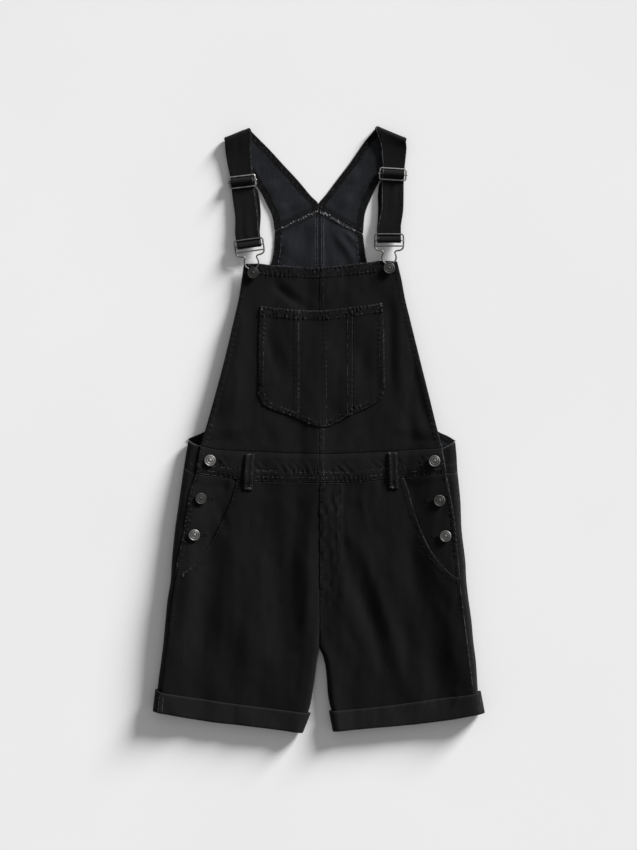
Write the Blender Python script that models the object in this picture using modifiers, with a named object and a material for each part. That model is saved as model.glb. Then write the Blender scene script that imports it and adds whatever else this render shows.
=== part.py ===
"""Black denim shortalls lying flat on their back.

The garment lies on z = 0 with its straps towards +Y and its front up. Sizes in the tables are
millimetres. Left and right are as seen from above. The origin is at the middle of the garment.
"""

import math

import bmesh
import bpy
from mathutils import Vector

MM = 0.001
NAME = "Shortalls"

# Cloth
PLY = 1.2
BAND = 2.2
CUFF = 2.3
STRAP = 1.8
SEAM_GAP = 0.35
LAYER = PLY + SEAM_GAP
BAND_RISE = BAND - PLY

# Side folds and inner leg folds, half widths seen from above
FOLD_WIDTH = 10.0
INSEAM_WIDTH = 9.0
SIDE_PUFF = 80.0
INSEAM_PUFF = 34.0
INSEAM_HEIGHT = 16.0
INSEAM_SPLIT = 0.5
CROTCH_LOW = -335.0
CROTCH_HIGH = -280.0
CUFF_TUCK = CUFF + 0.45
CUFF_RISE = CUFF + 1.1
TUCK_RUN = 14.0
TUCK_LEAD = 4.0
PLACKET_LAP = 12.0
MOUTH_LAP = 12.0

# Hardware
WIRE = 1.15
BAR = 1.0
SLIDER_HALF = (20.0, 9.2)
SLIDER_Z = 7.55
HOOK_HALF = 20.6
HEAD_RADIUS = 8.4
SHANK_RADIUS = 2.6

SIDES = ("left", "right")
SIGN = {"left": -1.0, "right": 1.0}

# Outer silhouette of the shorts, rows of (y, x), hem first
BODY = {
    "left": [(-440, -239.5), (-407, -236.3), (-390, -234.2), (-364, -231.8), (-335, -227.7),
             (-306, -224.3), (-277, -221.6), (-248, -218.7), (-219, -214.0), (-190, -212.3),
             (-146, -207.8), (-103, -201.7), (-59, -195.5), (-38, -192.3), (-16, -188.5)],
    "right": [(-440, 238.5), (-409, 235.0), (-390, 231.6), (-378, 229.9), (-360, 228.8),
              (-335, 227.0), (-306, 223.3), (-277, 220.7), (-248, 216.6), (-219, 213.3), (-190, 211.7),
              (-146, 206.5), (-103, 204.7), (-59, 200.4), (-38, 199.2), (-16, 197.2)],
}

# Free side edge of the bib, rows of (y, x), waist first
BIB_EDGE = {
    "left": [(-64, -176.6), (-23, -169.9), (-1.4, -163.8), (42, -151.5), (100, -136.2),
             (158, -122.5), (187, -116.0), (216, -111.5), (240, -107.9)],
    "right": [(-64, 184.0), (-29, 178.6), (-1.4, 171.2), (42, 160.8), (100, 146.4),
              (158, 132.1), (187, 125.0), (216, 119.6), (243, 113.2)],
}

# Placket edge above, outer leg seam below, rows of (y, x), hem first
SIDE_SEAM = {
    "left": [(-440, -234.0), (-378, -227.6), (-203, -205.8), (-195, -204.9), (-160, -197.5),
             (-120, -190.8), (-87, -185.0), (-68, -178.3), (-64, -176.6), (-23, -169.9)],
    "right": [(-440, 231.5), (-383, 225.5), (-223, 205.3), (-212, 203.6), (-162, 198.7),
              (-128, 195.3), (-94, 189.5), (-67, 184.4), (-62, 183.7), (-29, 178.6)],
}

# Hip pocket mouth, rows of (y, x), foot first
MOUTH = {
    "left": [(-206.6, -194.0), (-198.7, -182.4), (-187.0, -170.8), (-171.7, -159.2),
             (-150.1, -147.6), (-124.7, -136.0), (-100.0, -125.0), (-81.8, -120.1),
             (-70.0, -116.0)],
    "right": [(-214.2, 198.7), (-210.2, 191.7), (-198.7, 180.1), (-185.0, 168.5),
              (-166.8, 156.9), (-145.0, 147.0), (-116.7, 137.0), (-87.0, 128.8),
              (-70.0, 122.5)],
}
MOUTH_FOOT = {"left": -203.0, "right": -209.5}

# Inner leg fold, rows of (y, x), hem first; above the crotch it is the middle seam
MIDDLE = 1.0
HALF_GAP = SEAM_GAP / 2
INSEAM = {
    "left": [(-440, -27.0), (-408, -14.9), (-400, -12.4), (-380, -8.8), (-358, -5.4),
             (-340, -3.2), (-327, -1.2), (-316, MIDDLE - HALF_GAP), (-300, MIDDLE - HALF_GAP),
             (-70, MIDDLE - HALF_GAP), (320, MIDDLE - HALF_GAP)],
    "right": [(-440, 24.6), (-407, 18.1), (-394, 14.8), (-380, 12.8), (-363, 11.7),
              (-343, 9.6), (-327, 5.6), (-316, MIDDLE + HALF_GAP), (-300, MIDDLE + HALF_GAP),
              (-70, MIDDLE + HALF_GAP), (320, MIDDLE + HALF_GAP)],
}

# Cross lines, rows of (x, y) from left to right
WAIST_TOP = [(-190.0, -15.6), (-183.4, -20.6), (-170.8, -24.6), (-140.4, -30.4), (0.3, -36.2),
             (60.0, -34.6), (126.4, -31.0), (178.6, -27.6), (198.7, -18.5)]
WAIST_LOW = [(-196.0, -55.0), (-175.2, -64.5), (-125.9, -71.8), (-99.8, -75.4), (1.7, -77.6),
             (53.9, -76.8), (103.2, -71.8), (154.0, -66.7), (184.0, -63.4), (201.0, -62.2)]
BIB_TOP = [(-108.0, 238.7), (-87.0, 239.2), (-66.4, 236.9), (1.7, 234.2), (68.4, 240.7),
           (88.7, 243.2), (113.4, 242.2)]
CUFF_TOP = {
    "left": [(-236.1, -375.6), (-223.9, -380.3), (-136.6, -394.4), (-86.7, -401.1),
             (-13.2, -410.3)],
    "right": [(14.5, -407.2), (61.2, -403.5), (118.3, -396.9), (168.2, -389.5),
              (223.2, -381.9), (233.2, -378.4)],
}
CUFF_FOOT = {
    "left": [(-240.0, -407.2), (-223.7, -410.6), (-161.5, -421.9), (-103.2, -428.6),
             (-53.4, -435.0), (-22.9, -439.1)],
    "right": [(20.6, -436.9), (68.4, -432.4), (139.9, -426.0), (193.1, -418.8),
              (223.2, -412.9), (240.0, -409.5)],
}
CUFF_OUTER = {"left": [(-407.2, -240.0), (-375.6, -236.1)],
              "right": [(-409.5, 240.0), (-378.4, 234.0)]}
CUFF_INNER = {"left": [(-439.1, -22.9), (-411.5, -11.9)],
              "right": [(-436.9, 20.2), (-406.9, 14.5)]}

# Chest pocket outline
POCKET_SIDE = {"left": [(34, -88.6), (56, -87.3), (130, -86.9), (178, -84.8)],
               "right": [(39, 97.0), (61, 95.8), (97, 94.7), (164, 93.8), (182, 92.1)]}
POCKET_TOP = [(-85.0, 177.6), (-42.6, 173.1), (2.3, 171.4), (43.9, 175.6), (82.2, 180.7),
              (92.2, 182.3)]
POCKET_FOOT = [(-88.5, 56.0), (-84.2, 43.0), (-79.3, 34.1), (-40.0, 18.5), (5.7, 2.5),
               (45.0, 19.5), (85.5, 39.1), (92.5, 49.0), (97.0, 62.0)]
POCKET_SEAMS = (-37.6, 49.2)

# Back bib: armhole edge, rows of (y, x) from the waist up, and the pointed yoke seam
ARMHOLE = {
    "left": [(-14.5, -190.0), (-2.3, -163.6), (20, -148.0), (50, -134.0), (100, -113.0),
             (150, -96.0), (200, -81.0), (245, -67.7), (262, -65.0), (287, -63.6)],
    "right": [(-17.4, 198.9), (-10.2, 187.0), (-2.9, 172.0), (20, 155.0), (50, 139.0),
              (100, 116.0), (150, 98.0), (200, 82.0), (245, 68.9), (254, 67.3), (283, 63.9)],
}
YOKE_SEAM = {"left": [(-63.7, 287.0), (0.2, 318.0)], "right": [(0.2, 318.0), (64.0, 282.6)]}

# Height of the front's upper skin at the side folds and at the middle, rows from the hem up
HEIGHTS = [(-440, 19.0, 13.5), (-380, 20.5, 14.0), (-250, 24.5, 14.5), (-150, 24.5, 14.5),
           (-60, 22.0, 14.0), (-16, 18.0, 12.5), (30, 13.0, 11.2), (100, 10.6, 10.2),
           (245, 9.2, 9.4)]

# Main folds of the front: the points of each crease, its half width and its height
CREASES = [
    ("bib slant", [(-62, 210), (-24, 178)], 9.0, -1.5),
    ("bib left run", [(-96, 190), (-98, 95)], 8.0, -1.3),
    ("bib right run", [(115, 205), (119, 40)], 9.0, 1.6),
    ("pocket drag", [(-71, 158), (-60, 110), (-42, 66)], 9.0, -0.8),
    ("waist drag right", [(139, 38), (147, -18)], 8.0, 1.6),
    ("left thigh hollow", [(-34, -88), (-38, -200), (-31, -318)], 11.0, -2.5),
    ("left thigh ridge", [(-14, -95), (-15, -200), (-12, -290)], 9.0, 1.7),
    ("right thigh hollow", [(48, -88), (63, -190), (82, -277), (110, -378)], 13.0, -2.6),
    ("right side ridge", [(150, -160), (178, -250), (204, -378)], 14.0, 2.6),
    ("right side hollow", [(168, -222), (192, -280)], 8.0, -1.8),
    ("left side hollow", [(-150, -235), (-168, -330)], 13.0, -2.1),
    ("left side ridge", [(-184, -215), (-204, -350)], 11.0, 2.2),
]

SIDE_BUTTONS = {"left": [(-157.2, -45.5), (-170.5, -100.2), (-179.8, -152.5)],
                "right": [(166.5, -46.4), (173.9, -103.1), (182.6, -154.4)]}
BIB_BUTTON = {"left": (-95.1, 225.3), "right": (101.6, 232.4)}
BELT_LOOP = {"left": ((-99.2, -35.5), (-102.2, -87.7)), "right": ((106.3, -33.5), (108.3, -86.0))}
LOOP_WIDTH = 13.5
LOOP_THICK = 2.0

# Straps: back stretch from the yoke seam to the shoulder, outer edge and neck edge of each section
BACK_STRAP = {
    "left": [(-63.8, 287.5, 0.0, 318.5), (-67.5, 309.0, -0.6, 327.0), (-74.1, 323.3, -12.0, 338.5),
             (-84.0, 343.0, -30.0, 360.0), (-98.0, 364.5, -50.0, 381.5),
             (-116.0, 391.0, -72.0, 405.5)],
    "right": [(64.1, 283.2, 0.4, 318.5), (67.0, 312.0, -0.1, 327.0), (74.5, 332.1, 12.0, 341.5),
              (84.5, 353.0, 28.0, 363.0), (97.0, 373.5, 46.0, 386.5), (112.5, 398.0, 66.0, 415.7)],
}
SHOULDER = {"left": (-137.9, 421.4, -99.8, 436.4), "right": (127.9, 420.6, 83.4, 439.05)}
FRONT_STRAP = {
    "left": [(-134.9, 401.0, -97.3, 405.0, 6.4), (-131.7, 381.5, -96.2, 385.7, 5.3)],
    "right": [(126.9, 405.5, 88.5, 412.0, 6.4), (125.3, 388.5, 90.6, 391.0, 5.3)],
}
SLIDER = {"left": (-110.6, 357.9, 6.8), "right": (107.3, 368.6, -3.5)}
HOOK_BAR = {"left": (-101.8, 273.8, 7.9), "right": (101.6, 281.4, 0.0)}
STRAP_HALF = {"left": 16.9, "right": 16.4}
RETURN_SHIFT = {"left": 4.5, "right": -4.5}
ROLL = 4.2
SHIN = STRAP / 2 + 0.3

# Strap over the slider and the hook: distance above the bar, and height from the bar's middle
OVER_SLIDER = [(13.0, -2.35), (8.1, -2.4), (6.0, -1.3), (3.75, 2.55), (2.1, 4.05), (0.0, 4.5),
               (-2.1, 4.05), (-3.75, 2.55), (-6.0, -1.3), (-8.1, -2.4), (-13.0, -2.35)]
HOOK_STEP = 9.0
HOOK_PITCH = 17.0
OVER_HOOK = [(12.0, -2.6), (3.0, -2.45), (0.0, -2.45), (-1.3, -2.05), (-7.6, 2.15)]

# Wire hook, right half, from its top bar down to the keyhole's foot
HOOK_OUTLINE = [(0.0, 0.0), (17.5, 0.0), (20.0, -1.2), (20.6, -3.5), (20.6, -16.5), (19.4, -20.8),
                (15.5, -23.2), (10.5, -24.0), (8.4, -26.3), (9.6, -30.0), (10.2, -34.0),
                (8.9, -38.5), (5.3, -42.5), (4.2, -46.0)]
KEYHOLE = (4.2, -49.0)

COLOURS = {
    "denim": ((0.013, 0.013, 0.014), 0.9, 0.0),
    "denim_wrong_side": ((0.035, 0.038, 0.044), 0.92, 0.0),
    "nickel": ((0.30, 0.29, 0.28), 0.35, 1.0),
    "pewter": ((0.16, 0.155, 0.15), 0.42, 1.0),
}


def lerp(a, b, t):
    return a + (b - a) * t


def ease(t):
    t = min(max(t, 0.0), 1.0)
    return t * t * (3.0 - 2.0 * t)


def along(table, t, column=1):
    """Value of a table's column at t, on a smooth curve through its rows, straight beyond them."""
    last = len(table) - 1
    i = 0
    while i < last - 1 and t > table[i + 1][0]:
        i += 1
    t0, t1 = table[i][0], table[i + 1][0]
    v0, v1 = table[i][column], table[i + 1][column]
    chord = (v1 - v0) / (t1 - t0)
    if t <= table[0][0]:
        return v0 + chord * (t - t0)
    if t >= table[last][0]:
        return v1 + chord * (t - t1)
    slopes = []
    for k in (i, i + 1):
        if k in (0, last):
            slopes.append(chord)
        else:
            before, after = table[k - 1], table[k + 1]
            slopes.append((after[column] - before[column]) / (after[0] - before[0]))
    width = t1 - t0
    u = (t - t0) / width
    rise = v0 * (2 * u ** 3 - 3 * u ** 2 + 1) + v1 * (3 * u ** 2 - 2 * u ** 3)
    return rise + width * (slopes[0] * (u ** 3 - 2 * u ** 2 + u) + slopes[1] * (u ** 3 - u ** 2))


def shifted(table, amount):
    """The same line, moved by amount in its second column."""
    return [(row[0], row[1] + amount) for row in table]


def puff(distance, width):
    """Raised cosine that falls from 1 at a fold to 0 at width from it."""
    return 0.5 + 0.5 * math.cos(math.pi * min(max(distance / width, 0.0), 1.0))


def round_off(distance, width, depth):
    """How far a round edge of the given half width and depth lies below its top."""
    near = min(max(1.0 - distance / width, 0.0), 1.0)
    return depth * (1.0 - math.sqrt(1.0 - near * near))


def crease_height(x, y):
    """Sum of the main folds at a point of the front."""
    total = 0.0
    for _, points, width, height in CREASES:
        best = None
        for i in range(len(points) - 1):
            (ax, ay), (bx, by) = points[i], points[i + 1]
            length = math.hypot(bx - ax, by - ay)
            t = ((x - ax) * (bx - ax) + (y - ay) * (by - ay)) / length ** 2
            t = min(max(t, 0.0), 1.0)
            away = math.hypot(x - lerp(ax, bx, t), y - lerp(ay, by, t))
            place = (i + t) / (len(points) - 1)
            if best is None or away < best[0]:
                best = (away, place)
        away, place = best
        taper = math.sin(math.pi * min(max(place, 0.04), 0.96)) ** 0.6
        total += height * taper * math.exp(-(away / width) ** 2)
    return total


def leg_part(y):
    """0 where front and back lie as two sheets, 1 where they close into legs."""
    return 1.0 - ease((y - CROTCH_LOW) / (CROTCH_HIGH - CROTCH_LOW))


def rim(side, y):
    """The edge that the puffed side is measured from: body below the waist, bib above."""
    if y <= -16.0:
        return along(BODY[side], y)
    if y >= -1.4:
        return along(BIB_EDGE[side], y)
    return lerp(along(BODY[side], -16.0), along(BIB_EDGE[side], -1.4), (y + 16.0) / 14.6)


def front_height(x, y):
    """Height of the front's upper skin."""
    side_height = along(HEIGHTS, y, 1)
    middle = along(HEIGHTS, y, 2)
    to_left = x - rim("left", y)
    to_right = rim("right", y) - x
    swell = puff(to_left, SIDE_PUFF) + puff(to_right, SIDE_PUFF)
    height = middle + (side_height - middle) * swell + crease_height(x, y)
    side = "left" if x < MIDDLE else "right"
    to_inseam = abs(x - along(INSEAM[side], y))
    legs = leg_part(y)
    height += (INSEAM_HEIGHT - middle) * legs * puff(to_inseam, INSEAM_PUFF)
    below_waist = 1.0 - ease((y + 20.0) / 12.0)
    height -= below_waist * round_off(min(to_left, to_right), FOLD_WIDTH, side_height / 2)
    height -= legs * round_off(to_inseam, INSEAM_WIDTH, INSEAM_HEIGHT / 2 - INSEAM_SPLIT)
    return height


def tuck(side, x, y):
    """How far the leg's underside is lifted where it goes into the turned-up cuff."""
    above_cuff = y - along(CUFF_TOP[side], x)
    return CUFF_TUCK * ease((TUCK_RUN - above_cuff) / (TUCK_RUN - TUCK_LEAD))


def cross_point(edge, upper, lower, v):
    """The point of a side edge that is v of the way from the upper cross line to the lower."""
    x = edge[len(edge) // 2][1]
    for _ in range(24):
        y = lerp(along(upper, x), along(lower, x), v)
        x = lerp(x, along(edge, y), 0.5)
    return x, y


def evenly(count):
    return [i / count for i in range(count + 1)]


def patch(left, right, upper, lower, across, down):
    """Rows of (x, y) that fill the area between two side edges and two cross lines."""
    rows = []
    for v in down:
        x_left = cross_point(left, upper, lower, v)[0]
        x_right = cross_point(right, upper, lower, v)[0]
        xs = [lerp(x_left, x_right, s) for s in across]
        rows.append([(x, lerp(along(upper, x), along(lower, x), v)) for x in xs])
    return rows


def raised(rows, lift):
    """Puts rows of (x, y) on the front, lift above its upper skin."""
    return [[Vector((x, y, front_height(x, y) + lift)) for x, y in row] for row in rows]


def new_object(name, mesh, collection, slot):
    thing = bpy.data.objects.new(name, mesh)
    collection.objects.link(thing)
    thing.data.materials.append(material(slot))
    return thing


def material(slot):
    """The named material, made once."""
    found = bpy.data.materials.get(slot)
    if found:
        return found
    colour, roughness, metallic = COLOURS[slot]
    made = bpy.data.materials.new(slot)
    made.use_nodes = True
    shader = made.node_tree.nodes["Principled BSDF"]
    shader.inputs["Base Color"].default_value = (*colour, 1.0)
    shader.inputs["Roughness"].default_value = roughness
    shader.inputs["Metallic"].default_value = metallic
    return made


def cloth(name, rows, thickness, slot, collection, ring=False, offset=-1.0):
    """A wall of cloth: rows of points on its outer skin, thickened inwards."""
    bm = bmesh.new()
    grid = [[bm.verts.new(point * MM) for point in row] for row in rows]
    count = len(grid[0])
    for upper, lower in zip(grid, grid[1:]):
        for i in range(count if ring else count - 1):
            j = (i + 1) % count
            bm.faces.new((upper[i], lower[i], lower[j], upper[j]))
    mesh = bpy.data.meshes.new(name)
    bm.to_mesh(mesh)
    bm.free()
    mesh.shade_smooth()
    piece = new_object(name, mesh, collection, slot)
    wall = piece.modifiers.new("Wall", "SOLIDIFY")
    wall.thickness = thickness * MM
    wall.offset = offset
    wall.use_even_offset = True
    return piece


def inseam_steps(count):
    """Distances from the inner fold, closer together where it is round."""
    return [INSEAM_WIDTH * (1.0 - math.cos(math.pi / 2 * i / count)) for i in range(count + 1)]


def front_columns(width):
    """Fractions across a front panel, from its outer edge to its middle or inseam edge."""
    near = inseam_steps(4)
    body = [0.0, 4.0, 10.0, 20.0, 34.0, 50.0, 68.0, 90.0, 115.0, 145.0, 172.0]
    return [d / width for d in body] + [1.0 - d / width for d in reversed(near)]


def front_edge(side):
    """Outer edge of a front panel: the pocket mouth, then the side seam down to the hem."""
    seam = [row for row in SIDE_SEAM[side] if row[0] < MOUTH[side][0][0] - 12.0]
    foot = MOUTH[side][0][0] - 6.0
    return seam + [(foot, along(SIDE_SEAM[side], foot) - SIGN[side] * 1.5)] + MOUTH[side]


def front_panels(collection):
    down = [0.0, 0.09, 0.18, 0.26, 0.33, 0.39, 0.425, 0.46, 0.52, 0.60, 0.665, 0.69, 0.72, 0.76,
            0.82, 0.872, 0.908, 0.95, 1.0]
    for side in SIDES:
        width = 200.0
        across = front_columns(width)
        edges = [front_edge(side), INSEAM[side]]
        if side == "right":
            edges.reverse()
            across = [1.0 - s for s in reversed(across)]
        rows = patch(*edges, shifted(WAIST_LOW, -SEAM_GAP), shifted(CUFF_FOOT[side], 1.6),
                     across, down)
        cloth("front_" + side, raised(rows, 0.0), PLY, "denim", collection)


def hip_yokes(collection):
    for side in SIDES:
        inner = shifted(MOUTH[side], -SIGN[side] * MOUTH_LAP)
        edges = [SIDE_SEAM[side], inner]
        if side == "right":
            edges.reverse()
        foot = [(-300, MOUTH_FOOT[side]), (300, MOUTH_FOOT[side])]
        rows = patch(*edges, shifted(WAIST_LOW, -SEAM_GAP), foot, evenly(5), evenly(7))
        cloth("hip_yoke_" + side, raised(rows, -LAYER), PLY, "denim", collection)


def wrap_depth(y):
    """Depth of the back's wrapped edge under the front's upper skin."""
    return LAYER * (2.0 - 0.3 * ease((-215.0 - y) / 25.0))


def back_section(side, upper, lower, v, tucked):
    """Outer skin of the back, from its inner edge under the garment and round the side fold."""
    sign = SIGN[side]
    inner_x = cross_point(INSEAM[side], upper, lower, v)[0]
    outer_x = cross_point(BODY[side], upper, lower, v)[0]
    lap = shifted(SIDE_SEAM[side], -sign * PLACKET_LAP)
    lap_x = cross_point(lap, upper, lower, v)[0]

    def row_y(x):
        return lerp(along(upper, x), along(lower, x), v)

    def floor_height(x):
        return tuck(side, x, row_y(x)) if tucked else 0.0

    points = []
    turn_x = outer_x - sign * FOLD_WIDTH
    near = inseam_steps(4)
    flat = [inner_x + sign * d for d in near]
    flat += [lerp(inner_x + sign * INSEAM_WIDTH, turn_x, i / 6) for i in range(1, 7)]
    for x in flat:
        floor = floor_height(x)
        depth = INSEAM_HEIGHT / 2 - INSEAM_SPLIT - floor
        rise = leg_part(row_y(x)) * round_off(abs(x - inner_x), INSEAM_WIDTH, depth)
        points.append(Vector((x, row_y(x), floor + rise)))
    low = floor_height(turn_x)
    high = front_height(turn_x, row_y(turn_x)) - wrap_depth(row_y(turn_x))
    for i in range(1, 8):
        angle = math.pi * (i / 8 - 0.5)
        x = turn_x + sign * FOLD_WIDTH * math.cos(angle)
        z = (low + high) / 2 + (high - low) / 2 * math.sin(angle)
        points.append(Vector((x, row_y(x), z)))
    for i in range(4):
        x = lerp(turn_x, lap_x, i / 3)
        y = row_y(x)
        points.append(Vector((x, y, front_height(x, y) - wrap_depth(y))))
    return points


def back_panels(collection):
    down = [0.0, 0.1, 0.2, 0.3, 0.4, 0.5, 0.6, 0.665, 0.69, 0.72, 0.76, 0.82, 0.872, 0.908, 0.95, 1.0]
    for side in SIDES:
        upper = shifted(WAIST_LOW, -SEAM_GAP)
        lower = shifted(CUFF_FOOT[side], 1.6)
        rows = [back_section(side, upper, lower, v, True) for v in down]
        if side == "right":
            rows = [row[::-1] for row in rows]
        cloth("back_" + side, rows, PLY, "denim", collection)


def waistbands(collection):
    upper = WAIST_TOP
    for side in SIDES:
        edges = [SIDE_SEAM[side], INSEAM[side]]
        if side == "right":
            edges.reverse()
        rows = patch(*edges, upper, WAIST_LOW, evenly(9), evenly(2))
        cloth("waistband_front_" + side, raised(rows, BAND_RISE), BAND, "denim", collection)
    rows = []
    for v in evenly(2):
        left = back_section("left", upper, WAIST_LOW, v, False)
        right = back_section("right", upper, WAIST_LOW, v, False)
        keep = len(inseam_steps(4))
        rows.append(right[::-1][:-keep] + left[keep:])
    cloth("waistband_back", rows, BAND, "denim", collection)


def belt_loops(collection):
    for side in SIDES:
        (top_x, top_y), (foot_x, foot_y) = BELT_LOOP[side]
        rows = []
        for t in (0.0, 0.12, 0.35, 0.6, 0.76, 0.86, 1.0):
            x = lerp(top_x, foot_x, t)
            y = lerp(top_y, foot_y, t)
            band = BAND_RISE * (1.0 - ease((t - 0.76) / 0.1))
            lift = SEAM_GAP + LOOP_THICK + band + 0.8 * math.sin(math.pi * t)
            half = LOOP_WIDTH / 2
            rows.append([Vector((x + d, y, front_height(x + d, y) + lift)) for d in (-half, 0.0, half)])
        cloth("belt_loop_" + side, rows, LOOP_THICK, "denim", collection)


def bibs(collection):
    for side in SIDES:
        edges = [BIB_EDGE[side], INSEAM[side]]
        if side == "right":
            edges.reverse()
        rows = patch(*edges, BIB_TOP, shifted(WAIST_TOP, SEAM_GAP), evenly(7), evenly(11))
        cloth("bib_" + side, raised(rows, 0.0), PLY, "denim", collection)


def chest_pocket(collection):
    left_seam, right_seam = POCKET_SEAMS
    lines = {
        "left": (POCKET_SIDE["left"], [(0, left_seam - HALF_GAP), (200, left_seam - HALF_GAP)]),
        "middle": ([(0, left_seam + HALF_GAP), (200, left_seam + HALF_GAP)],
                   [(0, right_seam - HALF_GAP), (200, right_seam - HALF_GAP)]),
        "right": ([(0, right_seam + HALF_GAP), (200, right_seam + HALF_GAP)], POCKET_SIDE["right"]),
    }
    columns = {"left": 4, "middle": 6, "right": 4}
    for name, (left, right) in lines.items():
        rows = patch(left, right, POCKET_TOP, POCKET_FOOT, evenly(columns[name]), evenly(6))
        cloth("chest_pocket_" + name, raised(rows, LAYER), PLY, "denim", collection)


def back_bibs(collection):
    for side in SIDES:
        edges = [ARMHOLE[side], INSEAM[side]]
        if side == "right":
            edges.reverse()
        rows = patch(*edges, shifted(YOKE_SEAM[side], -SEAM_GAP), shifted(WAIST_TOP, 1.2),
                     evenly(4), evenly(10))
        flat = [[Vector((x, y, PLY)) for x, y in row] for row in rows]
        cloth("back_bib_" + side, flat, PLY, "denim_wrong_side", collection)


def cuffs(collection):
    for side in SIDES:
        sign = SIGN[side]
        rows = []
        for v in evenly(2):
            upper, lower = CUFF_TOP[side], CUFF_FOOT[side]
            outer_x = cross_point(CUFF_OUTER[side], upper, lower, v)[0]
            inner_x = cross_point(CUFF_INNER[side], upper, lower, v)[0]
            row = []
            for x, z in cuff_loop(side, outer_x, inner_x, upper, lower, v):
                row.append(Vector((x, lerp(along(upper, x), along(lower, x), v), z)))
            rows.append(row if sign < 0 else row[::-1])
        cloth("cuff_" + side, rows, CUFF, "denim_wrong_side", collection, ring=True)


def cuff_loop(side, outer_x, inner_x, upper, lower, v):
    """One closed section of a cuff as (x, z), from its inner fold along the floor and back."""
    sign = SIGN[side]
    turn_out = outer_x - sign * FOLD_WIDTH
    turn_in = inner_x + sign * INSEAM_WIDTH

    def top(x):
        return front_height(x, lerp(along(upper, x), along(lower, x), v)) + CUFF_RISE

    loop = [(lerp(turn_in, turn_out, i / 5), 0.0) for i in range(6)]
    high = top(turn_out)
    for i in range(1, 7):
        angle = math.pi * (i / 7 - 0.5)
        loop.append((turn_out + sign * FOLD_WIDTH * math.cos(angle), high / 2 * (1 + math.sin(angle))))
    loop += [(lerp(turn_out, turn_in, i / 12), top(lerp(turn_out, turn_in, i / 12))) for i in range(13)]
    high = top(turn_in)
    for i in range(1, 7):
        angle = math.pi * (0.5 - i / 7)
        loop.append((turn_in - sign * INSEAM_WIDTH * math.cos(angle), high / 2 * (1 + math.sin(angle))))
    return loop


def hook_height(side):
    """Height of the hook's wire, just above the bib that it lies on."""
    x, y = BIB_BUTTON[side]
    spots = [(dx, dy) for dx in (-11, 0, 11) for dy in (-5, 4, 12)]
    return max(front_height(x + dx, y + dy) for dx, dy in spots) + WIRE + SEAM_GAP


def across_strap(place, distance, half, height, shift=0.0):
    """Both edge points of a strap section, distance up the strap from a bar."""
    x, y, tilt = place
    angle = math.radians(tilt)
    axis = Vector((math.cos(angle), math.sin(angle), 0.0))
    up = Vector((-math.sin(angle), math.cos(angle), 0.0))
    middle = Vector((x, y, height)) + up * distance + axis * shift
    return middle - axis * half, middle + axis * half


def strap_sections(side):
    """Edge points of a strap, from the yoke seam over the shoulder, round the hook and back."""
    sign = SIGN[side]
    half = STRAP_HALF[side]
    slider, hook = SLIDER[side], HOOK_BAR[side]
    wire_z = hook_height(side)
    sections = []

    def add(left, right):
        sections.append((left, right))

    def add_edges(outer_x, outer_y, neck_x, neck_y, z):
        pair = [Vector((outer_x, outer_y, z)), Vector((neck_x, neck_y, z))]
        add(*(pair if sign < 0 else pair[::-1]))

    for row in BACK_STRAP[side]:
        add_edges(*row, STRAP / 2)
    outer_x, outer_y, neck_x, neck_y = SHOULDER[side]
    along_fold = Vector((neck_x - outer_x, neck_y - outer_y)).normalized()
    out = Vector((-along_fold.y, along_fold.x)) * -sign
    for i in range(7):
        angle = math.pi * (i / 6 - 0.5)
        reach = ROLL * math.cos(angle) - ROLL - STRAP / 2
        shift = out * reach
        z = STRAP / 2 + ROLL + ROLL * math.sin(angle)
        add_edges(outer_x + shift.x, outer_y + shift.y, neck_x + shift.x, neck_y + shift.y, z)
    for row in FRONT_STRAP[side]:
        add_edges(*row)
    for distance, height in OVER_SLIDER:
        add(*across_strap(slider, distance, half, SLIDER_Z + height))
    run = math.hypot(slider[0] - hook[0], slider[1] - hook[1])
    between = (slider[0], slider[1], lerp(slider[2], hook[2], 0.5))
    low, high = SLIDER_Z - 2.35, wire_z - 2.6
    for t in (0.35, 0.6):
        add(*across_strap(between, -run * t, half, lerp(low, high, (t - 0.15) / 0.7)))
    for distance, height in OVER_HOOK:
        add(*across_strap(hook, distance, half + 0.8, wire_z + height))
    turn = WIRE + SHIN + 0.1
    for degrees in (85, 115, 145, 180, 215, 245, 270):
        angle = math.radians(degrees)
        add(*across_strap(hook, -HOOK_STEP + turn * math.cos(angle), half + 0.8,
                          wire_z + turn * math.sin(angle)))
    under = wire_z - 2.45 - STRAP - 0.35
    for distance, height in ((-4.0, under + 0.5), (0.0, under), (8.0, under - 0.2)):
        add(*across_strap(hook, distance, half + 0.8, height))
    for t in (0.6, 0.35, 0.18):
        shift = RETURN_SHIFT[side] * (1.35 - t) * min(1.0, t / 0.3)
        height = lerp(low, high, (t - 0.15) / 0.7) - STRAP - SEAM_GAP
        add(*across_strap(between, -run * t, half, height, shift))
    floor = STRAP * 1.5 + SEAM_GAP
    wrap = BAR + SHIN + 0.1
    for distance, height in ((-9.0, floor), (-6.0, floor + 0.2), (-2.6, SLIDER_Z - wrap - 0.3)):
        add(*across_strap(slider, distance, half, height))
    for degrees in (-90, -50, -10, 30, 65, 100):
        angle = math.radians(degrees)
        add(*across_strap(slider, wrap * math.cos(angle), half, SLIDER_Z + wrap * math.sin(angle)))
    return sections


def straps(collection):
    for side in SIDES:
        rows = [[left, (left + right) / 2, right] for left, right in strap_sections(side)]
        cloth("strap_" + side, rows, STRAP, "denim", collection, offset=0.0)


def placed(point, place, height):
    """A point of a flat outline, turned and moved to its place on the garment."""
    x, y, tilt = place
    angle = math.radians(tilt)
    return Vector((x + point[0] * math.cos(angle) - point[1] * math.sin(angle),
                   y + point[0] * math.sin(angle) + point[1] * math.cos(angle), height))


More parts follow.
